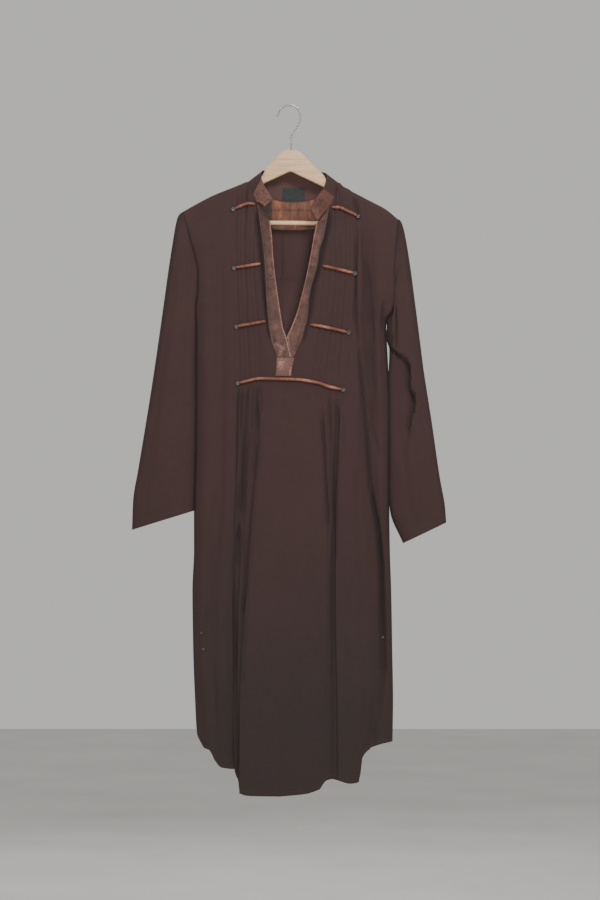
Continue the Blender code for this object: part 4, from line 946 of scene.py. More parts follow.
def shoulder_line(side, x):
    """The drop of the shoulder seam at x, from the armhole to the neck."""
    zones = TOPS[side]
    points = [row for zone in zones[:2] for row in zone[:-1]]
    points = (points + [row for row in zones[2] if row[0] <= NECK_SHARE])[::-1]
    return float(smooth([side * row[1] for row in points], [row[2] for row in points], side * x))


def neck_end(side):
    """Where the shoulder seam meets the neck, (x, drop)."""
    return next(row[1:] for row in TOPS[side][2] if row[0] == NECK_SHARE)


def back_neck(share):
    """A point (x, behind, drop) of the back neck, from left to right."""
    arch = 1 - (2 * share - 1) ** 2
    x, drop = (a + (b - a) * share for a, b in zip(neck_end(-1), neck_end(1)))
    return x, BACK_NECK_BEHIND * arch ** 0.6, drop + BACK_NECK_DEEP * arch ** 0.8


def back_across(side, share, edges):
    """Where a column of the back lies across: beside the neck, or below it for side 0."""
    start = edges[side] if side else BACK_NECK_X[-1]
    return start + (BACK_NECK_X[side or 1] - start) * share


def back_depth(across, edges, drops):
    """How far the back stands behind the seams, with its soft folds."""
    middle, half = (edges[-1] + edges[1]) / 2, (edges[1] - edges[-1]) / 2
    full = lens(np.clip(1 - np.abs(across - middle) / half, 0, 1))
    sides = np.where(across >= middle, edge_forward(1, drops), edge_forward(-1, drops))
    depth = sides + (column(BACK_BEHIND, 1, drops) - sides) * full
    for x, width, deep in BACK_FOLDS:
        depth = depth - deep * ease(300, 1000, drops) * beside(across - x, width)
    return depth


def back_grid():
    """Points (rows, columns, 3) of the back, from left to right."""
    columns = []
    for side, share in ([(-1, s) for s in BACK_ZONE_SHARES] + [(0, s) for s in BACK_NECK_SHARES]
                        + [(1, s) for s in BACK_ZONE_SHARES[::-1]]):
        if side:
            tip_x = TOPS[side][0][0][1]
            x = tip_x + (neck_end(side)[0] - tip_x) * share
            top, rounding = (x, 0, shoulder_line(side, x)), SHOULDER_ROUND
            under = UNDERARM[side]
        else:
            top = back_neck(share)
            rounding = max(0.0, SHOULDER_ROUND - top[1])
            under = UNDERARM[-1] + (UNDERARM[1] - UNDERARM[-1]) * ease(-200, 200, top[0])
        levels = np.concatenate([
            np.linspace(LEVEL_TOP, under, ROWS_TO_UNDERARM, endpoint=False),
            np.linspace(under, LEVEL_LOW, BACK_ROWS_TO_LOW)])
        edges = {s: column(LINES[s]["edge"], 1, levels[-1]) for s in (-1, 1)}
        guess = back_across(side, share, edges)
        nearer = min((-1, 1), key=lambda s: abs(guess - edges[s]))
        reach = abs(guess - edges[nearer]) / (edges[1] - edges[-1]) * 2
        drops = to_hem(levels, column(BACK_HEM[nearer], 1, reach))
        edges = {s: column(LINES[s]["edge"], 1, drops) for s in (-1, 1)}
        across = np.broadcast_to(back_across(side, share, edges), drops.shape)
        depth = back_depth(across, edges, drops)
        columns.append(with_shoulder(top, rounding, drops, across, depth))
    return np.array(columns).transpose(1, 0, 2)


def back_panel(finish):
    """The back, with painted shade in its folds. Its inner side, seen through the V, has painted
    light and painted shade along its own lines.
    """
    grid = back_grid()
    numbers = numbered(*grid.shape[:2])
    points = grid.reshape(-1, 3)
    quads = grid_quads(numbers, flip=True)
    normals = point_normals(points, quads)
    seam = len(BACK_ZONE_SHARES) + 1
    ends = numbers[:, [0, -1]]
    for members, axis in ((ends[UNDERARM_ROW:], 1), (ends[1:UNDERARM_ROW], 0),
                          (numbers[0, :seam], 1), (numbers[0, -seam:], 1)):
        keep_in_plane(normals, members.reshape(-1), axis)
    fixed = np.append(ends, numbers[0])
    across, drops = grid[:, :, 0], -grid[:, :, 2]
    rise = fold_heights(across, drops, BACK_CREASES)
    rise += fold_heights(drops, across, BACK_LEVEL_CREASES)
    rise = rise * calm_edges(*numbers.shape, True)
    made, outer, facing = cloth_wall("back", points, normals, rise, quads, fixed, finish)
    outer = outer.reshape(grid.shape)
    # Painted shade in the folds of the outer side
    shade = 0.8 * hollows(outer[:, :, 0], outer[:, :, 1], 11.0, 6.0).reshape(-1)
    places = point_table(made)
    across, drops = places[:, 0], -places[:, 2]
    # Painted shade along two tucks and a seam on the inner side
    tucks = (beside(across + 15, 1.6) * within(drops, 236, 246, 318, 324)
             + 0.5 * beside(across - 36, 1.6) * within(drops, 240, 256, 318, 324))
    seam = 0.5 * beside(drops - 323, 1.8) * (1 - ease(18, 30, np.abs(across)))
    inside = places[:, 4] < -0.1
    set_attribute(made, "fold", np.where(inside, np.clip(0.7 * tucks + seam, 0, 1),
                                         np.concatenate([shade, 0 * shade])))
    # Painted light on the inner side, seen through the V
    set_attribute(made, "pale", inside * (0.3 + 0.5 * ease(300, 420, drops))
                  * (1 - ease(500, 580, drops)))
    return made, outer, facing.reshape(grid.shape)


def twist(across, drops):
    """The share of its depth that the right sleeve's front gives up below the twist's edge."""
    edge = column(TWIST_EDGE, 1, drops)
    under = 1 - ease(edge - TWIST_SOFT, edge + TWIST_SOFT, across)
    return TWIST_SHARE * under * within(drops, 440, 500, 590, 690)


def sleeve(name, side, front, back, finish):
    """A tube from the armhole's loop down to the open cuff."""
    ring = np.concatenate([front, back[-2:0:-1]])
    ring[:, 0] -= side * 0.5
    half = len(front)
    top, span = ring[0], ring[half - 1] - ring[0]
    down = (ring - top) @ span / (span @ span)
    aside = ring - top - down[:, None] * span
    even = (1 - np.cos(math.pi * np.arange(half) / (half - 1))) / 2
    even = np.concatenate([even, even[-2:0:-1]])
    facing = np.ones(len(ring))
    facing[:half] = -1
    facing[[0, half - 1]] = 0
    table, finer = SLEEVE_RINGS[side], SLEEVE_FINER[side]
    rings = []
    for at in np.arange((len(table) - 1) * finer + 1) / finer:
        out_x, out_drop, in_x, in_drop, depth = (
            float(smooth(range(len(table)), [row[k] for row in table], at)) for k in range(5))
        in_x -= side * float(column(SLEEVE_PRESSED[side], 1, in_drop))
        blend = float(np.interp(at, range(len(SLEEVE_BLEND)), SLEEVE_BLEND))
        start, end = np.array((out_x, 0, -out_drop)), np.array((in_x, 0, -in_drop))
        share = down + (even - down) * blend
        made = start + share[:, None] * (end - start) + (1 - blend) * aside
        full = (1 - np.abs(2 * share - 1) ** SLEEVE_FULL) ** (1 / SLEEVE_FULL)
        made[:, 1] = (1 - blend) * aside[:, 1] + blend * facing * depth * full
        if side > 0:
            made[:, 1] *= 1 - np.where(made[:, 1] < 0, twist(made[:, 0], -made[:, 2]), 0)
        rings.append(made)
    grid = np.array([ring + (rings[0] - ring) * f for f in SLEEVE_SEAM_RINGS] + rings)
    rows, columns = grid.shape[:2]
    numbers = numbered(rows, columns)
    quads = grid_quads(numbers, flip=side > 0, closed=True)
    points = grid.reshape(-1, 3)
    normals = point_normals(points, quads)
    keep_in_plane(normals, np.append(numbers[0, 1:half - 1], numbers[0, half:]), 0)
    is_front = np.arange(columns) < half
    across, drops = grid[:, :, 0], -grid[:, :, 2]
    rise = np.where(is_front, fold_heights(across, drops, SLEEVE_FOLDS[side]),
                    fold_heights(across, drops, SLEEVE_BACK_FOLDS[side]))
    flats = ease(0, 1, np.minimum(np.abs(np.arange(columns) % (half - 1)), 6) / 6)
    rise = rise * flats
    rise[:len(SLEEVE_CALM)] *= np.array(SLEEVE_CALM)[:, None]
    rise[0] -= 0.2
    made, outer, _ = cloth_wall(name, points, normals, rise, quads, numbers[0], finish)
    outer = outer.reshape(grid.shape)
    across, drops = outer[:, :, 0], -outer[:, :, 2]
    # Painted shade beside the armhole seam, along given lines and in the folds of the front, and
    # beside the seam under the arm
    strength, width = SLEEVE_PAINTED_SHADE
    shade = is_front * (strength * beside(np.linalg.norm(outer - outer[:1], axis=2), width)
                        + dark_lines(across, drops, SLEEVE_LINES[side]))
    shade[:, :half] += hollows(across[:, :half], -outer[:, :half, 1], 8.0, 9.0)
    strength, width, ends = SIDE_PAINTED_SHADE
    off = np.linalg.norm(outer - outer[:, half - 1:half], axis=2)
    shade += strength * beside(off, width) * ease(*ends[:2], drops)
    set_attribute(made, "fold", np.clip(shade, 0, 1))
    return made, outer


def sampled(table, at_rows, at_columns):
    """A grid read at part rows and columns, along straight lines between its points."""
    at_rows, at_columns = np.asarray(at_rows, float), np.asarray(at_columns, float)
    r = np.clip(np.floor(at_rows).astype(int), 0, table.shape[0] - 2)
    c = np.clip(np.floor(at_columns).astype(int), 0, table.shape[1] - 2)
    fr, fc = (at_rows - r)[:, None, None], (at_columns - c)[None, :, None]
    upper = table[np.ix_(r, c)] * (1 - fc) + table[np.ix_(r, c + 1)] * fc
    lower = table[np.ix_(r + 1, c)] * (1 - fc) + table[np.ix_(r + 1, c + 1)] * fc
    return upper * (1 - fr) + lower * fr


def patch(name, points, normals, gap, thickness, finish, flip=False):
    """A piece that lies on a grid of points, moved out from it along its normals. Its
    gap and thickness are one number each, or one for each point."""
    numbers = numbered(*points.shape[:2])
    facing = normals / np.linalg.norm(normals, axis=2, keepdims=True)
    low, rise = (np.broadcast_to(v, numbers.shape)[:, :, None] for v in (gap, thickness))
    inner, outer = points + facing * low, points + facing * (low + rise)
    made = wall(name, outer.reshape(-1, 3), inner.reshape(-1, 3), grid_quads(numbers, flip=flip),
                finish)
    return made, outer


def rounded(shares, ends, edge=0.45):
    """How thick a strip is across, in shares: thinner towards its two edges."""
    t = np.clip(np.minimum(shares, 1 - shares) / ends, 0, 1)
    return edge + (1 - edge) * np.sqrt(1 - (1 - t) ** 2)


def edge_spaced(count, closer):
    """Shares from 0 to 1 that lie closer together near both ends."""
    even = np.linspace(0, 1, count)
    return even - closer * np.sin(math.tau * even) / math.tau


BAND_SHARES = edge_spaced(26, 0.75)
TAB_SHARES = edge_spaced(20, 0.7)
COLLAR_SHARES = edge_spaced(18, 0.6)


def wrinkles(u, v, table):
    """Small creases listed for a strip: (height, width, u, v, reach along u, lean)."""
    total = np.zeros(np.broadcast(u, v).shape)
    for height, width, at_u, at_v, reach, lean in table:
        off = v - at_v - lean * (u - at_u)
        total += height * np.exp(-((off / width) ** 2) - ((u - at_u) / reach) ** 2)
    return total


def level_row(side, drop):
    """The row number of a level row, with parts of a row between two."""
    drops = level_rows(side)
    return len(TOP_SHARES) + float(np.interp(drop, drops, range(len(drops))))


def neck_bands(halves, finish):
    """The two bands that bind the V, left over right, and the tab below its point."""
    last = len(ZONE_SHARES[3]) - 1
    made, outers = {}, {}
    for side, name in SIDES:
        points, normals, _ = halves[side]
        end = level_row(side, TAB_DROPS[0] - 0.3)
        rows = np.append(np.arange(0, int(end) + 1), end)
        at = BAND_COLUMN + BAND_SHARES * (last if side < 0 else last - 0.25)
        points = sampled(points, rows, at)
        drops = -points[:, :, 2]
        thick = LEATHER * rounded(BAND_SHARES, 0.1) - 0.28 * two_grooves(BAND_SHARES, BAND_SEAM)
        thick = np.maximum(thick + wrinkles(BAND_SHARES, drops, BAND_CREASES[side]), 0.3)
        over = 0.9 * (side < 0) * ease(430, 462, drops) * ease(0.2, 0.9, BAND_SHARES)
        made[side], outers[side] = patch(f"band_{name}", points, sampled(normals, rows, at),
                                         LAY_GAP + over, thick, finish, flip=side > 0)
    rows = np.linspace(level_row(-1, TAB_DROPS[0] + 0.3), level_row(-1, TAB_DROPS[1]), TAB_ROWS)
    left = TAB_SHARES[TAB_SHARES <= 0.5] * 2
    right = 2 - TAB_SHARES[TAB_SHARES > 0.5] * 2
    points, normals = (
        np.concatenate([sampled(halves[side][k], rows, BAND_COLUMN + shares * (last - 0.2))
                        for side, shares in ((-1, left), (1, right))], axis=1) for k in (0, 1))
    down = np.linspace(0, 1, TAB_ROWS)[:, None]
    thick = LEATHER * rounded(TAB_SHARES, 0.16) * rounded(down, 0.1, 0.6)
    thick = np.maximum(thick + wrinkles(TAB_SHARES, down * TAB_HEIGHT, TAB_CREASES), 0.3)
    made["tab"], outers["tab"] = patch("tab", points, normals, LAY_GAP, thick, finish)
    return made, outers


def back_facing(grid, normals, finish):
    """The facing inside the back neck, wrinkled, on the back panel's inner side."""
    ends = np.interp(FACING_ACROSS, BACK_NECK_SHARES, range(len(BACK_NECK_SHARES)))
    across = len(BACK_ZONE_SHARES) + np.linspace(*ends, FACING_POINTS[1])
    ends = np.interp(FACING_DOWN, TOP_SHARES + (1.0,), range(len(TOP_SHARES) + 1))
    rows = np.linspace(*ends, FACING_POINTS[0])
    points = sampled(grid, rows, across)
    u, v = points[:, :, 0], -points[:, :, 2]
    thick = CLOTH + fold_heights(u, v, FACING_FOLDS) + fold_heights(v, u, FACING_LEVEL_FOLDS)
    hem = 0.55 * beside(np.linspace(0, 1, len(rows)) - 0.955, 0.03)
    return patch("facing", points, -sampled(normals, rows, across), CLOTH + FACING_GAP,
                 np.maximum(thick + hem[:, None], 0.4), finish)


def collar_edges(halves, back):
    """The collar's sewn edge and its top edge, from the left front end round to the right
    one, and how many of their points lie in front of the back neck."""
    rise = np.array([0, 0, COLLAR_RISE])
    sewn, top = {}, {}
    for side in (-1, 1):
        coarse = list(range(NECK_COLUMN, BAND_COLUMN, 5)) + [BAND_COLUMN]
        line = halves[side][0][0, coarse][::-1] + rise
        line[-1, 1] = 0
        line = np.concatenate([np.array(COLLAR_FREE[side]) * (1, -1, -1), line])
        fine = np.linspace(0, 1, (len(line) - 1) * 5 + 1)
        shares = np.linspace(0, 1, len(line))
        sewn[side] = np.stack([smooth(shares, line[:, k], fine) for k in range(3)], axis=1)
        top[side] = np.stack([column(COLLAR_TOP[side], k, fine) for k in (1, 2, 3)],
                             axis=1) * (1, -1, -1)
    first = len(BACK_ZONE_SHARES)
    neck = back[0, first + 1:first + len(BACK_NECK_SHARES) - 1] + rise
    share = np.array(BACK_NECK_SHARES[1:-1])
    arch = 1 - (2 * share - 1) ** 2
    left, right = top[-1][-1], top[1][-1]
    level = left[2] + (right[2] - left[2]) * share
    x = left[0] + (right[0] - left[0]) * (share + COLLAR_SIDE_REACH * np.sin(math.tau * share))
    behind = np.stack([x, COLLAR_TOP_BEHIND * arch ** 0.6,
                       level - (COLLAR_TOP_DROP + level) * arch], axis=1)
    return (np.concatenate([sewn[-1], neck, sewn[1][::-1]]),
            np.concatenate([top[-1], behind, top[1][::-1]]), len(sewn[-1]))


def collar(halves, back, leather, cloth, label):
    """The stand collar: two leather front ends, the cloth part round the back, its label."""
    sewn, top, ends = collar_edges(halves, back)
    grid = np.array([top + (sewn - top) * f for f in COLLAR_SHARES])
    rows, columns = grid.shape[:2]
    backwards = np.zeros(grid.shape)
    backwards[:, columns // 2, 1] = 1
    normals = facing_of(grid, backwards)
    cut = (COLLAR_LEATHER_POINTS - 1) * 5
    far = columns - 1 - cut
    made = {}
    for name, at, finish in (
            ("collar_left", range(cut + 1), leather),
            ("collar_round", (cut + 0.1, *range(cut + 1, far), far - 0.1), cloth),
            ("collar_right", range(far, columns), leather)):
        points, facing = (sampled(table, range(rows), at) for table in (grid, normals))
        thick = COLLAR_WALL * rounded(COLLAR_SHARES, 0.12, 0.5)[:, None]
        if finish is leather:
            aside = np.linspace(0, 1, len(at))
            aside = 1 - aside if name == "collar_right" else aside
            thick = thick * rounded(0.5 * aside, 0.08, 0.5)
            thick = thick + wrinkles(aside, COLLAR_SHARES[:, None] * COLLAR_HEIGHT,
                                     COLLAR_CREASES[name])
            thick = np.maximum(thick, 0.4) - 0.2 * two_grooves(COLLAR_SHARES, COLLAR_SEAM)[:, None]
        made[name] = (patch(name, points, facing, -thick, thick, finish)[0], points, facing)
    high, wide = LABEL_POINTS
    at = np.linspace(*np.interp(LABEL_X, grid[rows // 2, ends:-ends, 0],
                                range(ends, columns - ends)), wide)
    label_rows = np.interp(1 - np.linspace(*LABEL_RISE[::-1], high), COLLAR_SHARES, range(rows))
    u, v = np.linspace(0, 1, wide), np.linspace(0, 1, high)[:, None]
    points, facing = (sampled(table, label_rows, at) for table in (grid, normals))
    made["label"] = patch("label", points, -facing,
                          COLLAR_WALL + LAY_GAP + 0.5 * np.abs(2 * u - 1) ** 3,
                          LABEL_WALL * rounded(u, 0.1, 0.4) * rounded(v, 0.15, 0.4), label)
    return made


def on_front(tree, x, drop):
    """The front's surface point at x and drop, and its normal, both in millimetres."""
    place, normal, _, _ = tree.ray_cast(Vector((x, -500, -drop)), Vector((0, 1, 0)))
    return place, -normal if normal.y > 0 else normal


def spaced(points, step):
    """Points at even spacing on a smooth line through these."""
    points = np.array(points, float)
    length = distances(points)
    at = np.linspace(0, length[-1], max(2, round(length[-1] / step)) + 1)
    return np.stack([smooth(length, points[:, k], at) for k in range(points.shape[1])], axis=1)


def capped(points, sides):
    """Rings of points, one after the other, with their faces and their two flat ends."""
    faces = grid_quads(numbered(len(points) // sides, sides), closed=True).tolist()
    return points, faces + [list(range(sides)), [len(points) - 1 - i for i in range(sides)]]


def tube(points, radii, sides, flatten=1.0, up=(0, -1, 0), ends=3):
    """Points and faces of a round rod along a line, with rounded ends. Radii is one
    number or one for each point; flatten squeezes it across the direction up."""
    points = np.asarray(points, float)
    radii = np.broadcast_to(radii, len(points)).astype(float)
    ahead = np.gradient(points, axis=0)
    ahead /= np.linalg.norm(ahead, axis=1, keepdims=True)
    first = up - ahead * np.sum(up * ahead, axis=1, keepdims=True)
    first /= np.linalg.norm(first, axis=1, keepdims=True)
    second = np.cross(ahead, first)
    turns = np.linspace(0, math.pi / 2, ends + 1)[1:-1]
    rings = [(points[0] - ahead[0] * radii[0] * math.sin(a), radii[0] * math.cos(a), 0)
             for a in turns[::-1]]
    rings += [(p, r, k) for k, (p, r) in enumerate(zip(points, radii))]
    rings += [(points[-1] + ahead[-1] * radii[-1] * math.sin(a), radii[-1] * math.cos(a), -1)
              for a in turns]
    angles = np.arange(sides)[:, None] * math.tau / sides
    return capped(np.concatenate([
        place + radius * (flatten * np.cos(angles) * first[k] + np.sin(angles) * second[k])
        for place, radius, k in rings]), sides)


def joined(name, parts, finish, sharp=50):
    """One piece from several (points, faces)."""
    faces, count = [], 0
    for points, part_faces in parts:
        faces += [tuple(i + count for i in face) for face in part_faces]
        count += len(points)
    return make_piece(name, np.concatenate([points for points, _ in parts]), faces, finish, sharp)


def lathe(place, facing, profile, sides=28):
    """Points and faces of a turned form: the profile is (radius, rise) from the rim in."""
    turn = Vector(facing).to_track_quat("Z", "Y")
    angles = [math.tau * k / sides for k in range(sides)]
    return capped([tuple(place + turn @ Vector((radius * math.cos(a), radius * math.sin(a), rise)))
                   for radius, rise in profile for a in angles], sides)


def hanger(wood, bar_wood_painted_light, steel):
    """The wooden hanger: a flat shaped body with rounded edges, a round bar, a steel hook."""
    outline = []
    for side in (-1, 1):
        half = [(side * x, drop) for x, drop in WOOD_NECK] + list(WOOD_SLOPE[side])
        start, stop = abs(half[-1][0]), abs(WOOD_END[side][0][0])
        under = np.linspace(start + WOOD_UNDER_ENDS[0], stop - WOOD_UNDER_ENDS[1], 6)
        half += [(side * x, shoulder_line(side, side * x) + WOOD_UNDER_SEAM) for x in under]
        half += WOOD_END[side] + WOOD_LOWER[side]
        outline += half[::-1] if side < 0 else half + [WOOD_APEX]
    closed = np.array(outline + outline[:1], float)
    length = distances(closed)
    at = np.unique(np.concatenate([np.linspace(0, length[-1], WOOD_OUTLINE_POINTS), length]))[:-1]
    fine = np.stack([np.interp(at, length, closed[:, k]) for k in range(2)], axis=1)
    for _ in range(4):
        fine = 0.5 * fine + 0.25 * (np.roll(fine, 1, axis=0) + np.roll(fine, -1, axis=0))
    work = bmesh.new()
    rim = [work.verts.new((x * MM, -WOOD_THICK / 2 * MM, -drop * MM)) for x, drop in fine]
    pushed = bmesh.ops.extrude_face_region(work, geom=[work.faces.new(rim)])["geom"]
    bmesh.ops.translate(work, verts=[v for v in pushed if isinstance(v, bmesh.types.BMVert)],
                        vec=(0, WOOD_THICK * MM, 0))
    work.normal_update()
    rims = [e for e in work.edges if abs(e.verts[0].co.y - e.verts[1].co.y) < 1e-6]
    bmesh.ops.bevel(work, geom=rims, offset=WOOD_BEVEL * MM, segments=5, profile=0.5,
                    affect="EDGES", clamp_overlap=True)
    bar, hook = ([(x, 0, -drop) for x, drop in line]
                 for line in (np.linspace(*BAR_ENDS, 60), spaced(HOOK, 1.6)))
    return (finished("wood", work, wood, 40), joined("bar", [tube(bar, BAR_RADIUS, 28)], bar_wood_painted_light),
            joined("hook", [tube(hook, WIRE_RADIUS, 20)], steel))


def forward_most(tree, x, drop, reach):
    """The furthest forward that the front stands within a small reach of a point."""
    steps = (-reach, -reach / 2, 0, reach / 2, reach)
    return min(on_front(tree, x + dx, drop + dz)[0].y for dx in steps for dz in (-reach, 0, reach))


def pipings(tree, leather, metal):
    """Corded pipings with uneven bulges, the studs at their ends, and those at the slits."""
    made = {}
    for name, studs, route in PIPINGS:
        path = np.array([(x, forward_most(tree, x, drop, 3.0) - LAY_GAP - CORD_LIES, -drop)
                         for x, drop in spaced(route, CORD_STEP)])
        for _ in range(3):
            path[1:-1, 1] = 0.5 * path[1:-1, 1] + 0.25 * (path[:-2, 1] + path[2:, 1])
        far = np.arange(len(path)) * CORD_STEP
        start = sum(ord(letter) for letter in name)
        swell = sum(height * beside(far - (at * far[-1] + start) % far[-1], width)
                    for at, width, height in CORD_SWELLS)
        ends = 0.25 * np.exp(-far / 3) + 0.25 * np.exp(-(far[-1] - far) / 3)
        cord = tube(path, (CORD_RADIUS + swell) * (1 - ends), 18)
        made[f"piping_{name}"] = joined(f"cord_{name}", [cord], leather)
        for end, (x, drop) in zip(("", "_far"), studs):
            place = Vector((x, forward_most(tree, x, drop, 4.4) - 0.3, -drop))
            made[f"stud_{name}{end}"] = joined(
                f"rivet_{name}{end}", [lathe(place, FRONTWARDS, STUD_PROFILE)], metal, 35)
    small = [(radius * SLIT_STUD_SIZE, rise * SLIT_STUD_SIZE) for radius, rise in STUD_PROFILE]
    for name, x, drop in SLIT_STUDS:
        place, facing = on_front(tree, x, drop)
        made[f"slit_stud_{name}"] = joined(
            f"slit_rivet_{name}", [lathe(place + facing * 0.9, facing, small)], metal, 35)
    return made


def stitch_run(line, facing, pitch, length, radius, lift):
    """Short rounded stitches along a line of points, each lying on the surface."""
    far = distances(line)
    parts = []
    for k in range(int(far[-1] / pitch)):
        start = k * pitch + (pitch - length) / 2
        at = np.linspace(start, start + length, 3)
        place, out = (np.stack([np.interp(at, far, table[:, i]) for i in range(3)], axis=1)
                      for table in (line, facing))
        out /= np.linalg.norm(out, axis=1, keepdims=True)
        place += out * (lift * np.array((0.2, 1.0, 0.2)))[:, None]
        parts.append(tube(place, (radius * 0.8, radius, radius * 0.8), 6, 0.8, up=out, ends=2))
    return parts


def line_on(outer, share, shares):
    """The line at one share across a strip's grid of points, and its outward facing."""
    at = float(np.interp(share, shares, range(len(shares))))
    low = min(int(at), outer.shape[1] - 2)
    line = outer[:, low] * (1 - at + low) + outer[:, low + 1] * (at - low)
    return line[2:-2], facing_of(outer, FRONTWARDS)[2:-2, low]


def cuts(grid, towards, *places):
    """Lines cut from a grid of points, each with its outward facing."""
    out = facing_of(grid, towards)
    return [(grid[place], out[place]) for place in places]


def sewn_row(name, runs, stitch, thread):
    """One piece of stitches along several (line, facing)."""
    parts = [part for run in runs for part in stitch_run(*run, *stitch)]
    joined(name, parts, thread, 60)


def stitches(halves, back, sleeves, outers, ring, facing, brown, tan):
    """Every visible row of stitches: bands, tab, collar ends, facing, hems and cuffs."""
    for side, name in SIDES:
        lines = [line_on(outers[side], share, BAND_SHARES) for share in (BAND_SEAM, 1 - BAND_SEAM)]
        sewn_row(f"band_stitches_{name}", lines, BAND_STITCH, tan)
        points, out = ring[f"collar_{name}"][1:]
        if out[:, :out.shape[1] // 2, 1].mean() > 0:
            points, out = points - COLLAR_WALL * out, -out
        rows = [int(np.argmin(np.abs(COLLAR_SHARES - share)))
                for share in (COLLAR_SEAM, 1 - COLLAR_SEAM)]
        sewn_row(f"collar_stitches_{name}", [(points[row, 1:-1], out[row, 1:-1]) for row in rows],
                 TRIM_STITCH, tan)
    tab = cuts(outers["tab"], FRONTWARDS, np.s_[1:-1, 2], np.s_[1:-1, -3], np.s_[-3, 2:-2])
    sewn_row("tab_stitches", tab, TRIM_STITCH, tan)
    sewn_row("facing_stitches", cuts(facing, FRONTWARDS, np.s_[1, 2:-2], np.s_[-3, 2:-2]),
             FACING_STITCH, tan)
    hem = [run for side in (-1, 1) for run in cuts(halves[side][2], FRONTWARDS, np.s_[-3, 1:])]
    sewn_row("front_hem_stitches", hem, HEM_STITCH, brown)
    hem = cuts(back, BACKWARDS, np.s_[-3, 1:-1])
    sewn_row("back_hem_stitches", hem, HEM_STITCH, brown)
    for side, name in SIDES:
        grid = sleeves[side][-12:]
        seam = grid.shape[1] // 2
        place = np.s_[-CUFF_ROW, 1:-1]
        runs = cuts(grid[:, :seam + 1], FRONTWARDS, place) + cuts(grid[:, seam:], BACKWARDS, place)
        sewn_row(f"cuff_stitches_{name}", runs, HEM_STITCH, brown)


class Finish:
    """A material made by short calls: each adds one node and gives back its output."""

    def __init__(self, name, roughness, metallic=0.0):
        self.material = bpy.data.materials.new(name)
        self.material.use_nodes = True
        self.tree = self.material.node_tree
        self.shader = self.tree.nodes["Principled BSDF"]
        self.give(self.shader, {"Roughness": roughness, "Metallic": metallic})
        self.place = self.tree.nodes.new("ShaderNodeTexCoord").outputs["Object"]

    def give(self, node, values):
        """Links or sets a node's inputs."""
        for name, value in values.items():
            socket = node.inputs[name]
            if hasattr(value, "links"):
                self.tree.links.new(value, socket)
            else:
                socket.default_value = (*value, 1) if socket.type == "RGBA" else value

    def add(self, kind, inputs, output=0, **settings):
        node = self.tree.nodes.new("ShaderNode" + kind)
        for name, value in settings.items():
            setattr(node, name, value)
        self.give(node, inputs)
        return node.outputs[output]

    def turned(self, angle=(0, 0, 0), scale=(1, 1, 1), place=None):
        return self.add("Mapping", {"Rotation": angle, "Scale": scale,
                                    "Vector": place or self.place})

    def noise(self, scale, detail, rough, distortion=0.0, place=None):
        return self.add("TexNoise", {"Scale": scale, "Detail": detail, "Roughness": rough,
                                     "Distortion": distortion, "Vector": place or self.place})

    def threads(self, pitch, direction, place=None):
        """Rounded parallel threads, one each pitch in metres, wavering a little."""
        return self.add("TexWave", {"Scale": math.pi / (10 * pitch), "Distortion": 0.6,
                                    "Detail": 1.0, "Detail Scale": 2.0,
                                    "Vector": place or self.place}, "Fac",
                        wave_type="BANDS", bands_direction=direction)

    def ramp(self, value, *stops):
        node = self.tree.nodes.new("ShaderNodeValToRGB")
        elements = node.color_ramp.elements
        while len(elements) < len(stops):
            elements.new(0.5)
        for element, (at, colour) in zip(elements, stops):
            element.position, element.color = at, (*colour, 1)
        self.give(node, {"Fac": value})
        return node.outputs["Color"]

    def spread(self, value, low, high, start=0.3, end=0.7):
        """A value read from start to end, laid out from low to high."""
        return self.add("MapRange", {"From Min": start, "From Max": end, "To Min": low,
                                     "To Max": high, "Value": value})

    def mixed(self, share, first, second, kind="MIX"):
        return self.add("Mix", {0: share, 6: first, 7: second}, 2,
                        data_type="RGBA", blend_type=kind)

    def maths(self, kind, first, second):
        return self.add("Math", {0: first, 1: second}, operation=kind)

    def attribute(self, name):
        return self.add("Attribute", {}, "Fac", attribute_name=name)

    def bump(self, height, distance, strength, below=None):
        under = {"Normal": below} if below else {}
        return self.add("Bump", {"Strength": strength, "Distance": distance,
                                 "Height": height, **under})

    def done(self, **values):
        """Gives the shader its inputs, named with _ for a space, and returns the material."""
        self.give(self.shader, {name.replace("_", " "): value for name, value in values.items()})
        return self.material


def tone(colour, by, plus=0.0):
    """A colour made lighter or darker."""
    return tuple(min(1, c * by + plus) for c in colour)


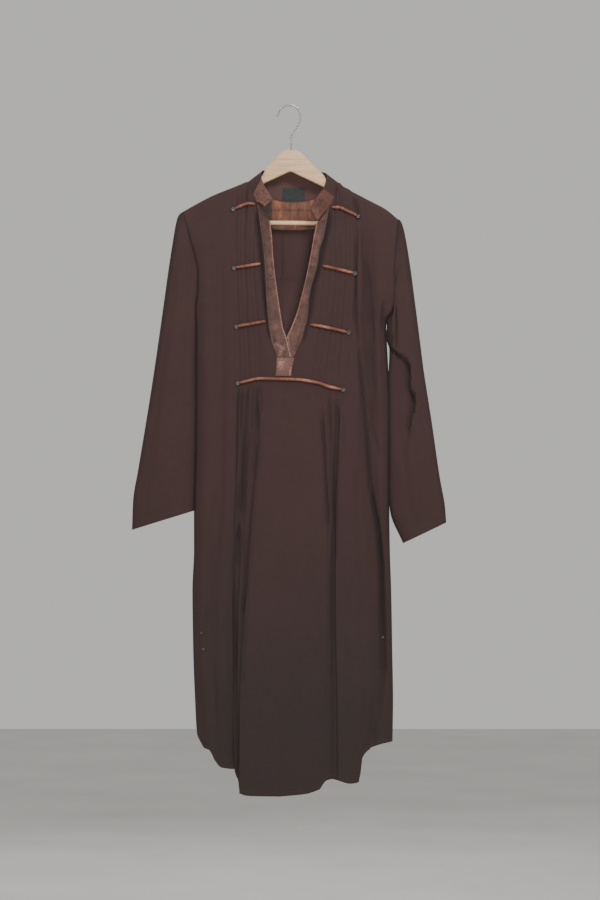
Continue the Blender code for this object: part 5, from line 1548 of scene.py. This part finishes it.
def cloth_material(name, colour, lean=0.0):
    """Plain-weave brown cloth with pale slubs of nap and fine creases, with painted light where
    marked pale and painted shade in its folds and towards the hem.
    """
    f = Finish(name, 0.9)
    woven = f.turned((0, lean, 0))
    weave = f.maths("MULTIPLY", f.threads(0.0011, "X", woven), f.threads(0.0012, "Z", woven))
    slubs = f.maths("ADD", *(f.noise(900, 2, 0.6, place=f.turned(scale=scale, place=woven))
                             for scale in ((1, 1, 0.05), (0.05, 0.3, 1))))
    patches = f.noise(9, 4, 0.55)
    base = f.ramp(patches, (0.32, tone(colour, 0.93)), (0.52, colour), (0.72, tone(colour, 1.1)))
    base = f.mixed(f.spread(slubs, 0.0, 0.2, 0.85, 1.2), base, tone(colour, 1.5, 0.003))
    base = f.mixed(f.spread(weave, 0.22, 0.0, 0.0, 0.5), base, tone(colour, 0.45))
    fold = f.attribute("fold")
    # Painted light: lighter where marked pale
    base = f.mixed(f.attribute("pale"), base, tone(colour, 2.1))
    # Painted shade: darker and less red towards the hem
    height = f.add("SeparateXYZ", {"Vector": f.place}, "Z")
    base = f.mixed(f.spread(height, 1.0, 0.0, -1.16, -0.72), base, LOW_PAINTED_SHADE, "MULTIPLY")
    # Painted shade in the folds and beside band and seams, where the fold attribute says
    base = f.mixed(f.maths("MULTIPLY", fold, 0.76), base, FOLD_PAINTED_SHADE)
    rough = f.spread(patches, 0.84, 0.97)
    creases = f.noise(46, 5, 0.62, 0.4, f.turned((0, 0.5, 0), (1, 1, 0.45)))
    fine = f.bump(slubs, 0.0002, 0.4, f.bump(creases, 0.0014, 0.45))
    return f.done(Base_Color=base, Roughness=rough, Sheen_Weight=0.1, Sheen_Roughness=0.45,
                  Sheen_Tint=(0.85, 0.66, 0.6), Specular_IOR_Level=0.22,
                  Normal=f.bump(weave, 0.00025, 0.5, fine))


def leather_material(name, colour, shine, grain=520.0, stretch=(1, 1, 1), gloss=0.24):
    """Thin soft leather: pebbled grain, creases darkened with painted shade, rubbed lighter high
    places that are also painted highlights, and painted shade where marked.
    """
    f = Finish(name, shine)
    drawn = f.turned(scale=stretch)
    pebbles = f.add("TexVoronoi", {"Scale": grain, "Smoothness": 0.6, "Vector": f.place},
                    "Distance", feature="SMOOTH_F1")
    rucks = f.noise(95, 5, 0.62, 0.8, drawn)
    blotches = f.noise(34, 4, 0.6, place=drawn)
    base = f.ramp(blotches, (0.34, tone(colour, 0.62)), (0.5, colour), (0.66, tone(colour, 1.6)))
    # Painted shade: darker where the creases' bump is low
    base = f.mixed(f.spread(rucks, 0.65, 0.0, 0.32, 0.5), base, tone(colour, 0.45))
    # Rubbed wear and painted highlights: lighter where marked
    rubbed_and_highlight = f.attribute("rubbed_and_highlight")
    scuffs = f.spread(f.noise(260, 4, 0.7), 0.25, 1.0, 0.35, 0.6)
    base = f.mixed(f.maths("MULTIPLY", rubbed_and_highlight, scuffs), base, tone(colour, 3.6, 0.07))
    # Painted shade: darker where marked
    base = f.mixed(f.attribute("painted_trim_shade"), base, TRIM_PAINTED_SHADE)
    rough = f.spread(rucks, shine + 0.16, shine - 0.08)
    coarse = f.bump(rucks, 0.0013, 0.8)
    return f.done(Base_Color=base, Roughness=rough, Specular_IOR_Level=gloss, Coat_Weight=0.03,
                  Coat_Roughness=0.3, Normal=f.bump(pebbles, 0.00022, 0.6, coarse))


def label_material(name, colour):
    """A small woven label: fine ribs, left bare."""
    f = Finish(name, 0.7)
    ribs = f.threads(0.0009, "Z")
    mottle = f.noise(240, 3, 0.6)
    base = f.ramp(mottle, (0.3, tone(colour, 0.6)), (0.7, tone(colour, 1.7)))
    base = f.mixed(f.spread(ribs, 0.35, 0.0, 0.0, 0.6), base, tone(colour, 0.35))
    return f.done(Base_Color=base, Roughness=f.spread(mottle, 0.55, 0.8), Sheen_Weight=0.15,
                  Normal=f.bump(ribs, 0.0003, 0.7))


def wood_material(name, colour):
    """Pale sanded beech with flecks, under a thin, rubbed varnish."""
    f = Finish(name, 0.45)
    grain = f.noise(260, 5, 0.6, 0.3, f.turned((0, 0.35, 0), (0.06, 1, 1)))
    flecks = f.noise(900, 2, 0.5, place=f.turned((0, 0.35, 0), (0.25, 1, 1)))
    wide = f.noise(22, 3, 0.5)
    base = f.ramp(grain, (0.3, tone(colour, 0.72)), (0.5, colour), (0.7, tone(colour, 1.14)))
    base = f.mixed(f.spread(flecks, 0.0, 0.4, 0.56, 0.7), base, tone(colour, 0.55))
    honey = tuple(c * by for c, by in zip(colour, (0.82, 0.74, 0.62)))
    base = f.mixed(f.spread(wide, 0.0, 0.3, 0.4, 0.7), base, honey)
    return f.done(Base_Color=base, Roughness=f.spread(grain, 0.38, 0.58), Coat_Weight=0.15,
                  Coat_Roughness=0.35, Normal=f.bump(grain, 0.0002, 0.5))


def metal_material(name, colour, roughness, tarnish):
    """Drawn or pressed metal with tarnish in patches and fine scratches."""
    f = Finish(name, roughness, 1.0)
    spots = f.noise(420, 4, 0.65)
    scratches = f.noise(2600, 2, 0.5, place=f.turned((0.4, 0.2, 0), (0.08, 1, 1)))
    base = f.ramp(spots, (0.34, tone(colour, tarnish)), (0.6, colour), (0.8, tone(colour, 1.35)))
    return f.done(Base_Color=base, Roughness=f.spread(spots, roughness + 0.2, roughness),
                  Normal=f.bump(scratches, 0.00006, 0.5))


def thread_material(name, colour):
    """Sewing thread of slanted plies."""
    f = Finish(name, 0.7)
    plies = f.threads(0.0005, "X", f.turned((0, 0.8, 0)))
    shade = f.noise(700, 3, 0.6)
    base = f.ramp(shade, (0.3, tone(colour, 0.65)), (0.7, tone(colour, 1.4)))
    base = f.mixed(f.spread(plies, 0.4, 0.0, 0.0, 0.5), base, tone(colour, 0.5))
    return f.done(Base_Color=base, Sheen_Weight=0.2, Normal=f.bump(plies, 0.0001, 0.6))


def band_wear_highlight_shade(piece, side, outer):
    """Rubbed edges that are also painted highlights on a neck band, and painted shade along its
    outer edge. The left one's lower end is folded over: painted shade on its crease, and it
    shines on the fold with painted highlights."""
    drops = -outer[:, :, 2]
    low = ease(330, 450, drops)
    # Rubbed wear and painted highlights: the inner edge, a little of the outer edge, and low down
    edge = 1.3 * beside(0.975 - BAND_SHARES, 0.05) + 0.08 * beside(BAND_SHARES, 0.05)
    rubbed_and_highlight = 0.75 * edge + 0.12 * low * ease(0.1, 0.5, BAND_SHARES)
    # Painted shade along the outer edge and over most of the left band, less low down
    painted_trim_shade = 0.8 * beside(BAND_SHARES, 0.3)
    painted_trim_shade = painted_trim_shade + 0.12 * (side < 0) * (1 - beside(1 - BAND_SHARES, 0.2))
    painted_trim_shade = painted_trim_shade * (1 - 0.75 * low)
    if side < 0:
        off = drops - (440.5 + 17 * (BAND_SHARES - 0.1))
        shown = 1 - ease(0.62, 0.8, BAND_SHARES)
        # Painted shade along the fold's crease, and painted highlights below it and down the fold
        painted_trim_shade += 0.9 * beside(off, 1.5) * shown
        rubbed_and_highlight += 0.5 * beside(off - 5, 2.6) * shown
        upright = 0.58 - 0.42 * (drops - 453) / 21
        rubbed_and_highlight += 0.7 * beside(BAND_SHARES - upright, 0.09) * within(drops, 448, 454, 470, 477)
    set_attribute(piece, "rubbed_and_highlight", np.clip(rubbed_and_highlight, 0, 1))
    set_attribute(piece, "painted_trim_shade", np.clip(painted_trim_shade, 0, 1))


def trim_wear_light_shade(tab, ring, facing):
    """Rubbed places on the tab and the collar's ends, two of the tab's also painted highlights;
    painted shade on the facing; and painted light on the round collar's inner side."""
    across, down = np.linspace(0, 1, len(TAB_SHARES)), np.linspace(0, 1, TAB_ROWS)[:, None]
    # Rubbed wear over the tab, with two painted highlights
    set_attribute(tab, "rubbed_and_highlight", 0.22 + 0.9 * beside(across - 0.27, 0.12) * beside(down - 0.35, 0.3)
                  + 0.9 * beside(across - 0.7, 0.11) * beside(down - 0.75, 0.2))
    for name, amount in (("collar_left", 0.3), ("collar_right", 0.08)):
        piece = ring[name][0]
        set_attribute(piece, "rubbed_and_highlight", np.full(len(piece.data.vertices), amount))
    piece = ring["collar_round"][0]
    places = point_table(piece)
    # Painted light on the round collar's inner side, where it faces forward
    set_attribute(piece, "pale", 0.7 * (places[:, 4] < -0.1) * ease(4, 10, places[:, 1]))
    places = point_table(facing)
    drops = -places[:, 2]
    # Painted shade on the facing: a line at its seam, its left part where the collar shades it,
    # and its lower part
    painted_trim_shade = 0.6 * beside(drops - 195, 1.4) + 0.9 * ease(-32, -38, places[:, 0])
    set_attribute(facing, "painted_trim_shade", np.clip(painted_trim_shade + 0.22 * ease(204, 222, drops), 0, 1))


# The lights, in metres: (name, place, aim, watts, size, colour)
LIGHTS = (
    ("key", (0.7, -2.1, 1.2), (0, 0, -0.3), 36, 0.7, (1, 0.96, 0.95)),
    ("fill", (-1.6, -2.8, 0.5), (0, 0, -0.5), 8, 1.6, (0.96, 0.97, 1)),
    ("front", (0.05, -1.9, -0.22), (0, 0, -0.24), 8, 0.5, (1, 0.97, 0.95)),
    ("behind", (-0.6, 2.6, 0.8), (0, 0, -0.5), 42, 1.4, (1, 0.98, 0.95)),
)
FLOOR_WIDE = 7
CAMERA_PLACE = (0.0169, -6.345, -0.647)
CAMERA_LENS = 135
FRAME_HEIGHT = 36


def light(name, place, aim, power, size, colour):
    """A square soft light that is turned towards its aim."""
    lamp = bpy.data.lights.new(name, "AREA")
    lamp.energy = power
    lamp.color = colour
    lamp.shape = "RECTANGLE"
    lamp.size = lamp.size_y = size
    made = bpy.data.objects.new(name, lamp)
    made.location = place
    made.rotation_euler = (Vector(aim) - Vector(place)).to_track_quat("-Z", "Y").to_euler()
    bpy.context.scene.collection.objects.link(made)


def stage():
    """A pale floor, a pale even surround, a soft light from the upper right, and fill."""
    mesh = bpy.data.meshes.new("floor")
    corners = ((-1, -1), (1, -1), (1, 1), (-1, 1))
    mesh.from_pydata([(x * FLOOR_WIDE, y * FLOOR_WIDE, FLOOR) for x, y in corners], [],
                     [(0, 1, 2, 3)])
    f = Finish("pale floor", 0.9)
    mottled = f.ramp(f.noise(3, 4, 0.5), (0.3, (0.60, 0.59, 0.57)), (0.7, (0.66, 0.65, 0.63)))
    mesh.materials.append(f.done(Base_Color=mottled))
    floor = bpy.data.objects.new("floor", mesh)
    bpy.context.scene.collection.objects.link(floor)
    world = bpy.data.worlds.new("pale room")
    world.use_nodes = True
    back = world.node_tree.nodes["Background"]
    back.inputs["Color"].default_value = (0.82, 0.81, 0.79, 1)
    back.inputs["Strength"].default_value = 0.68
    bpy.context.scene.world = world
    for row in LIGHTS:
        light(*row)


def camera():
    """A long lens that looks level at the middle of the garment."""
    lens = bpy.data.cameras.new("camera")
    lens.lens = CAMERA_LENS
    lens.sensor_fit = "VERTICAL"
    lens.sensor_height = FRAME_HEIGHT
    made = bpy.data.objects.new("camera", lens)
    made.location = CAMERA_PLACE
    made.rotation_euler = (math.radians(90), 0, 0)
    bpy.context.scene.collection.objects.link(made)
    bpy.context.scene.camera = made


def takes(node):
    """Hides the frame's solid that a piece takes the place of."""
    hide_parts(node)


def build():
    """Makes the finishes, every piece, the floor, the lights and the camera."""
    brown = (0.062, 0.0355, 0.0335)
    cloth = cloth_material("body cloth", brown)
    sleeve_cloth = {-1: cloth_material("left sleeve cloth", brown, 0.22),
                    1: cloth_material("right sleeve cloth", brown, -0.22)}
    leather = leather_material("brown leather", (0.100, 0.043, 0.033), 0.42)
    cord_leather = leather_material("rust cord leather", (0.29, 0.120, 0.083), 0.55, 700,
                                    gloss=0.1)
    satin = leather_material("rust facing", (0.215, 0.084, 0.048), 0.38, 900, (1.6, 1, 0.5))
    label_cloth = label_material("label cloth", (0.027, 0.037, 0.035))
    wood = wood_material("beech", (0.80, 0.53, 0.30))
    # Painted light: the bar's beech is a lighter copy, for a bar that sits in shade inside the V
    bar_wood_painted_light = wood_material("beech bar", (0.98, 0.65, 0.39))
    steel = metal_material("steel", (0.52, 0.50, 0.46), 0.25, 0.6)
    dark = metal_material("dark metal", (0.22, 0.205, 0.195), 0.42, 0.4)
    brown_thread = thread_material("brown thread", (0.075, 0.042, 0.038))
    tan_thread = thread_material("tan thread", (0.20, 0.11, 0.075))

    front, halves, tree = front_panel(cloth)
    takes("front_panel")
    back, back_points, back_normals = back_panel(cloth)
    takes("back_panel")
    sleeves = {}
    for side, name in SIDES:
        armhole = halves[side][0][:UNDERARM_ROW + 1, 0]
        behind = back_points[:UNDERARM_ROW + 1, 0 if side < 0 else -1]
        piece, sleeves[side] = sleeve(f"arm_{name}", side, armhole, behind, sleeve_cloth[side])
        takes(f"sleeve_{name}")
    bands, outers = neck_bands(halves, leather)
    for key, node in ((-1, "neck_band_left"), (1, "neck_band_right"), ("tab", "neck_tab")):
        takes(node)
    facing, facing_outer = back_facing(back_points, back_normals, satin)
    takes("back_neck_facing")
    ring = collar(halves, back_points, leather, cloth, label_cloth)
    for name, node, slot in (("collar_left", "collar_front_left", "leather"),
                             ("collar_right", "collar_front_right", "leather"),
                             ("collar_round", "collar_back", "cloth"),
                             ("label", "neck_label", "label_cloth")):
        takes(node)
    for side in (-1, 1):
        band_wear_highlight_shade(bands[side], side, outers[side])
    trim_wear_light_shade(bands["tab"], ring, facing)
    for node, piece in pipings(tree, cord_leather, dark).items():
        takes(node)
    stitches(halves, back_points, sleeves, outers, ring, facing_outer, brown_thread, tan_thread)
    body, bar, hook = hanger(wood, bar_wood_painted_light, steel)
    for piece, node, slot in ((body, "hanger_body", "wood"), (bar, "hanger_bar", "wood"),
                              (hook, "hanger_hook", "steel")):
        takes(node)
    stage()
    camera()


build()
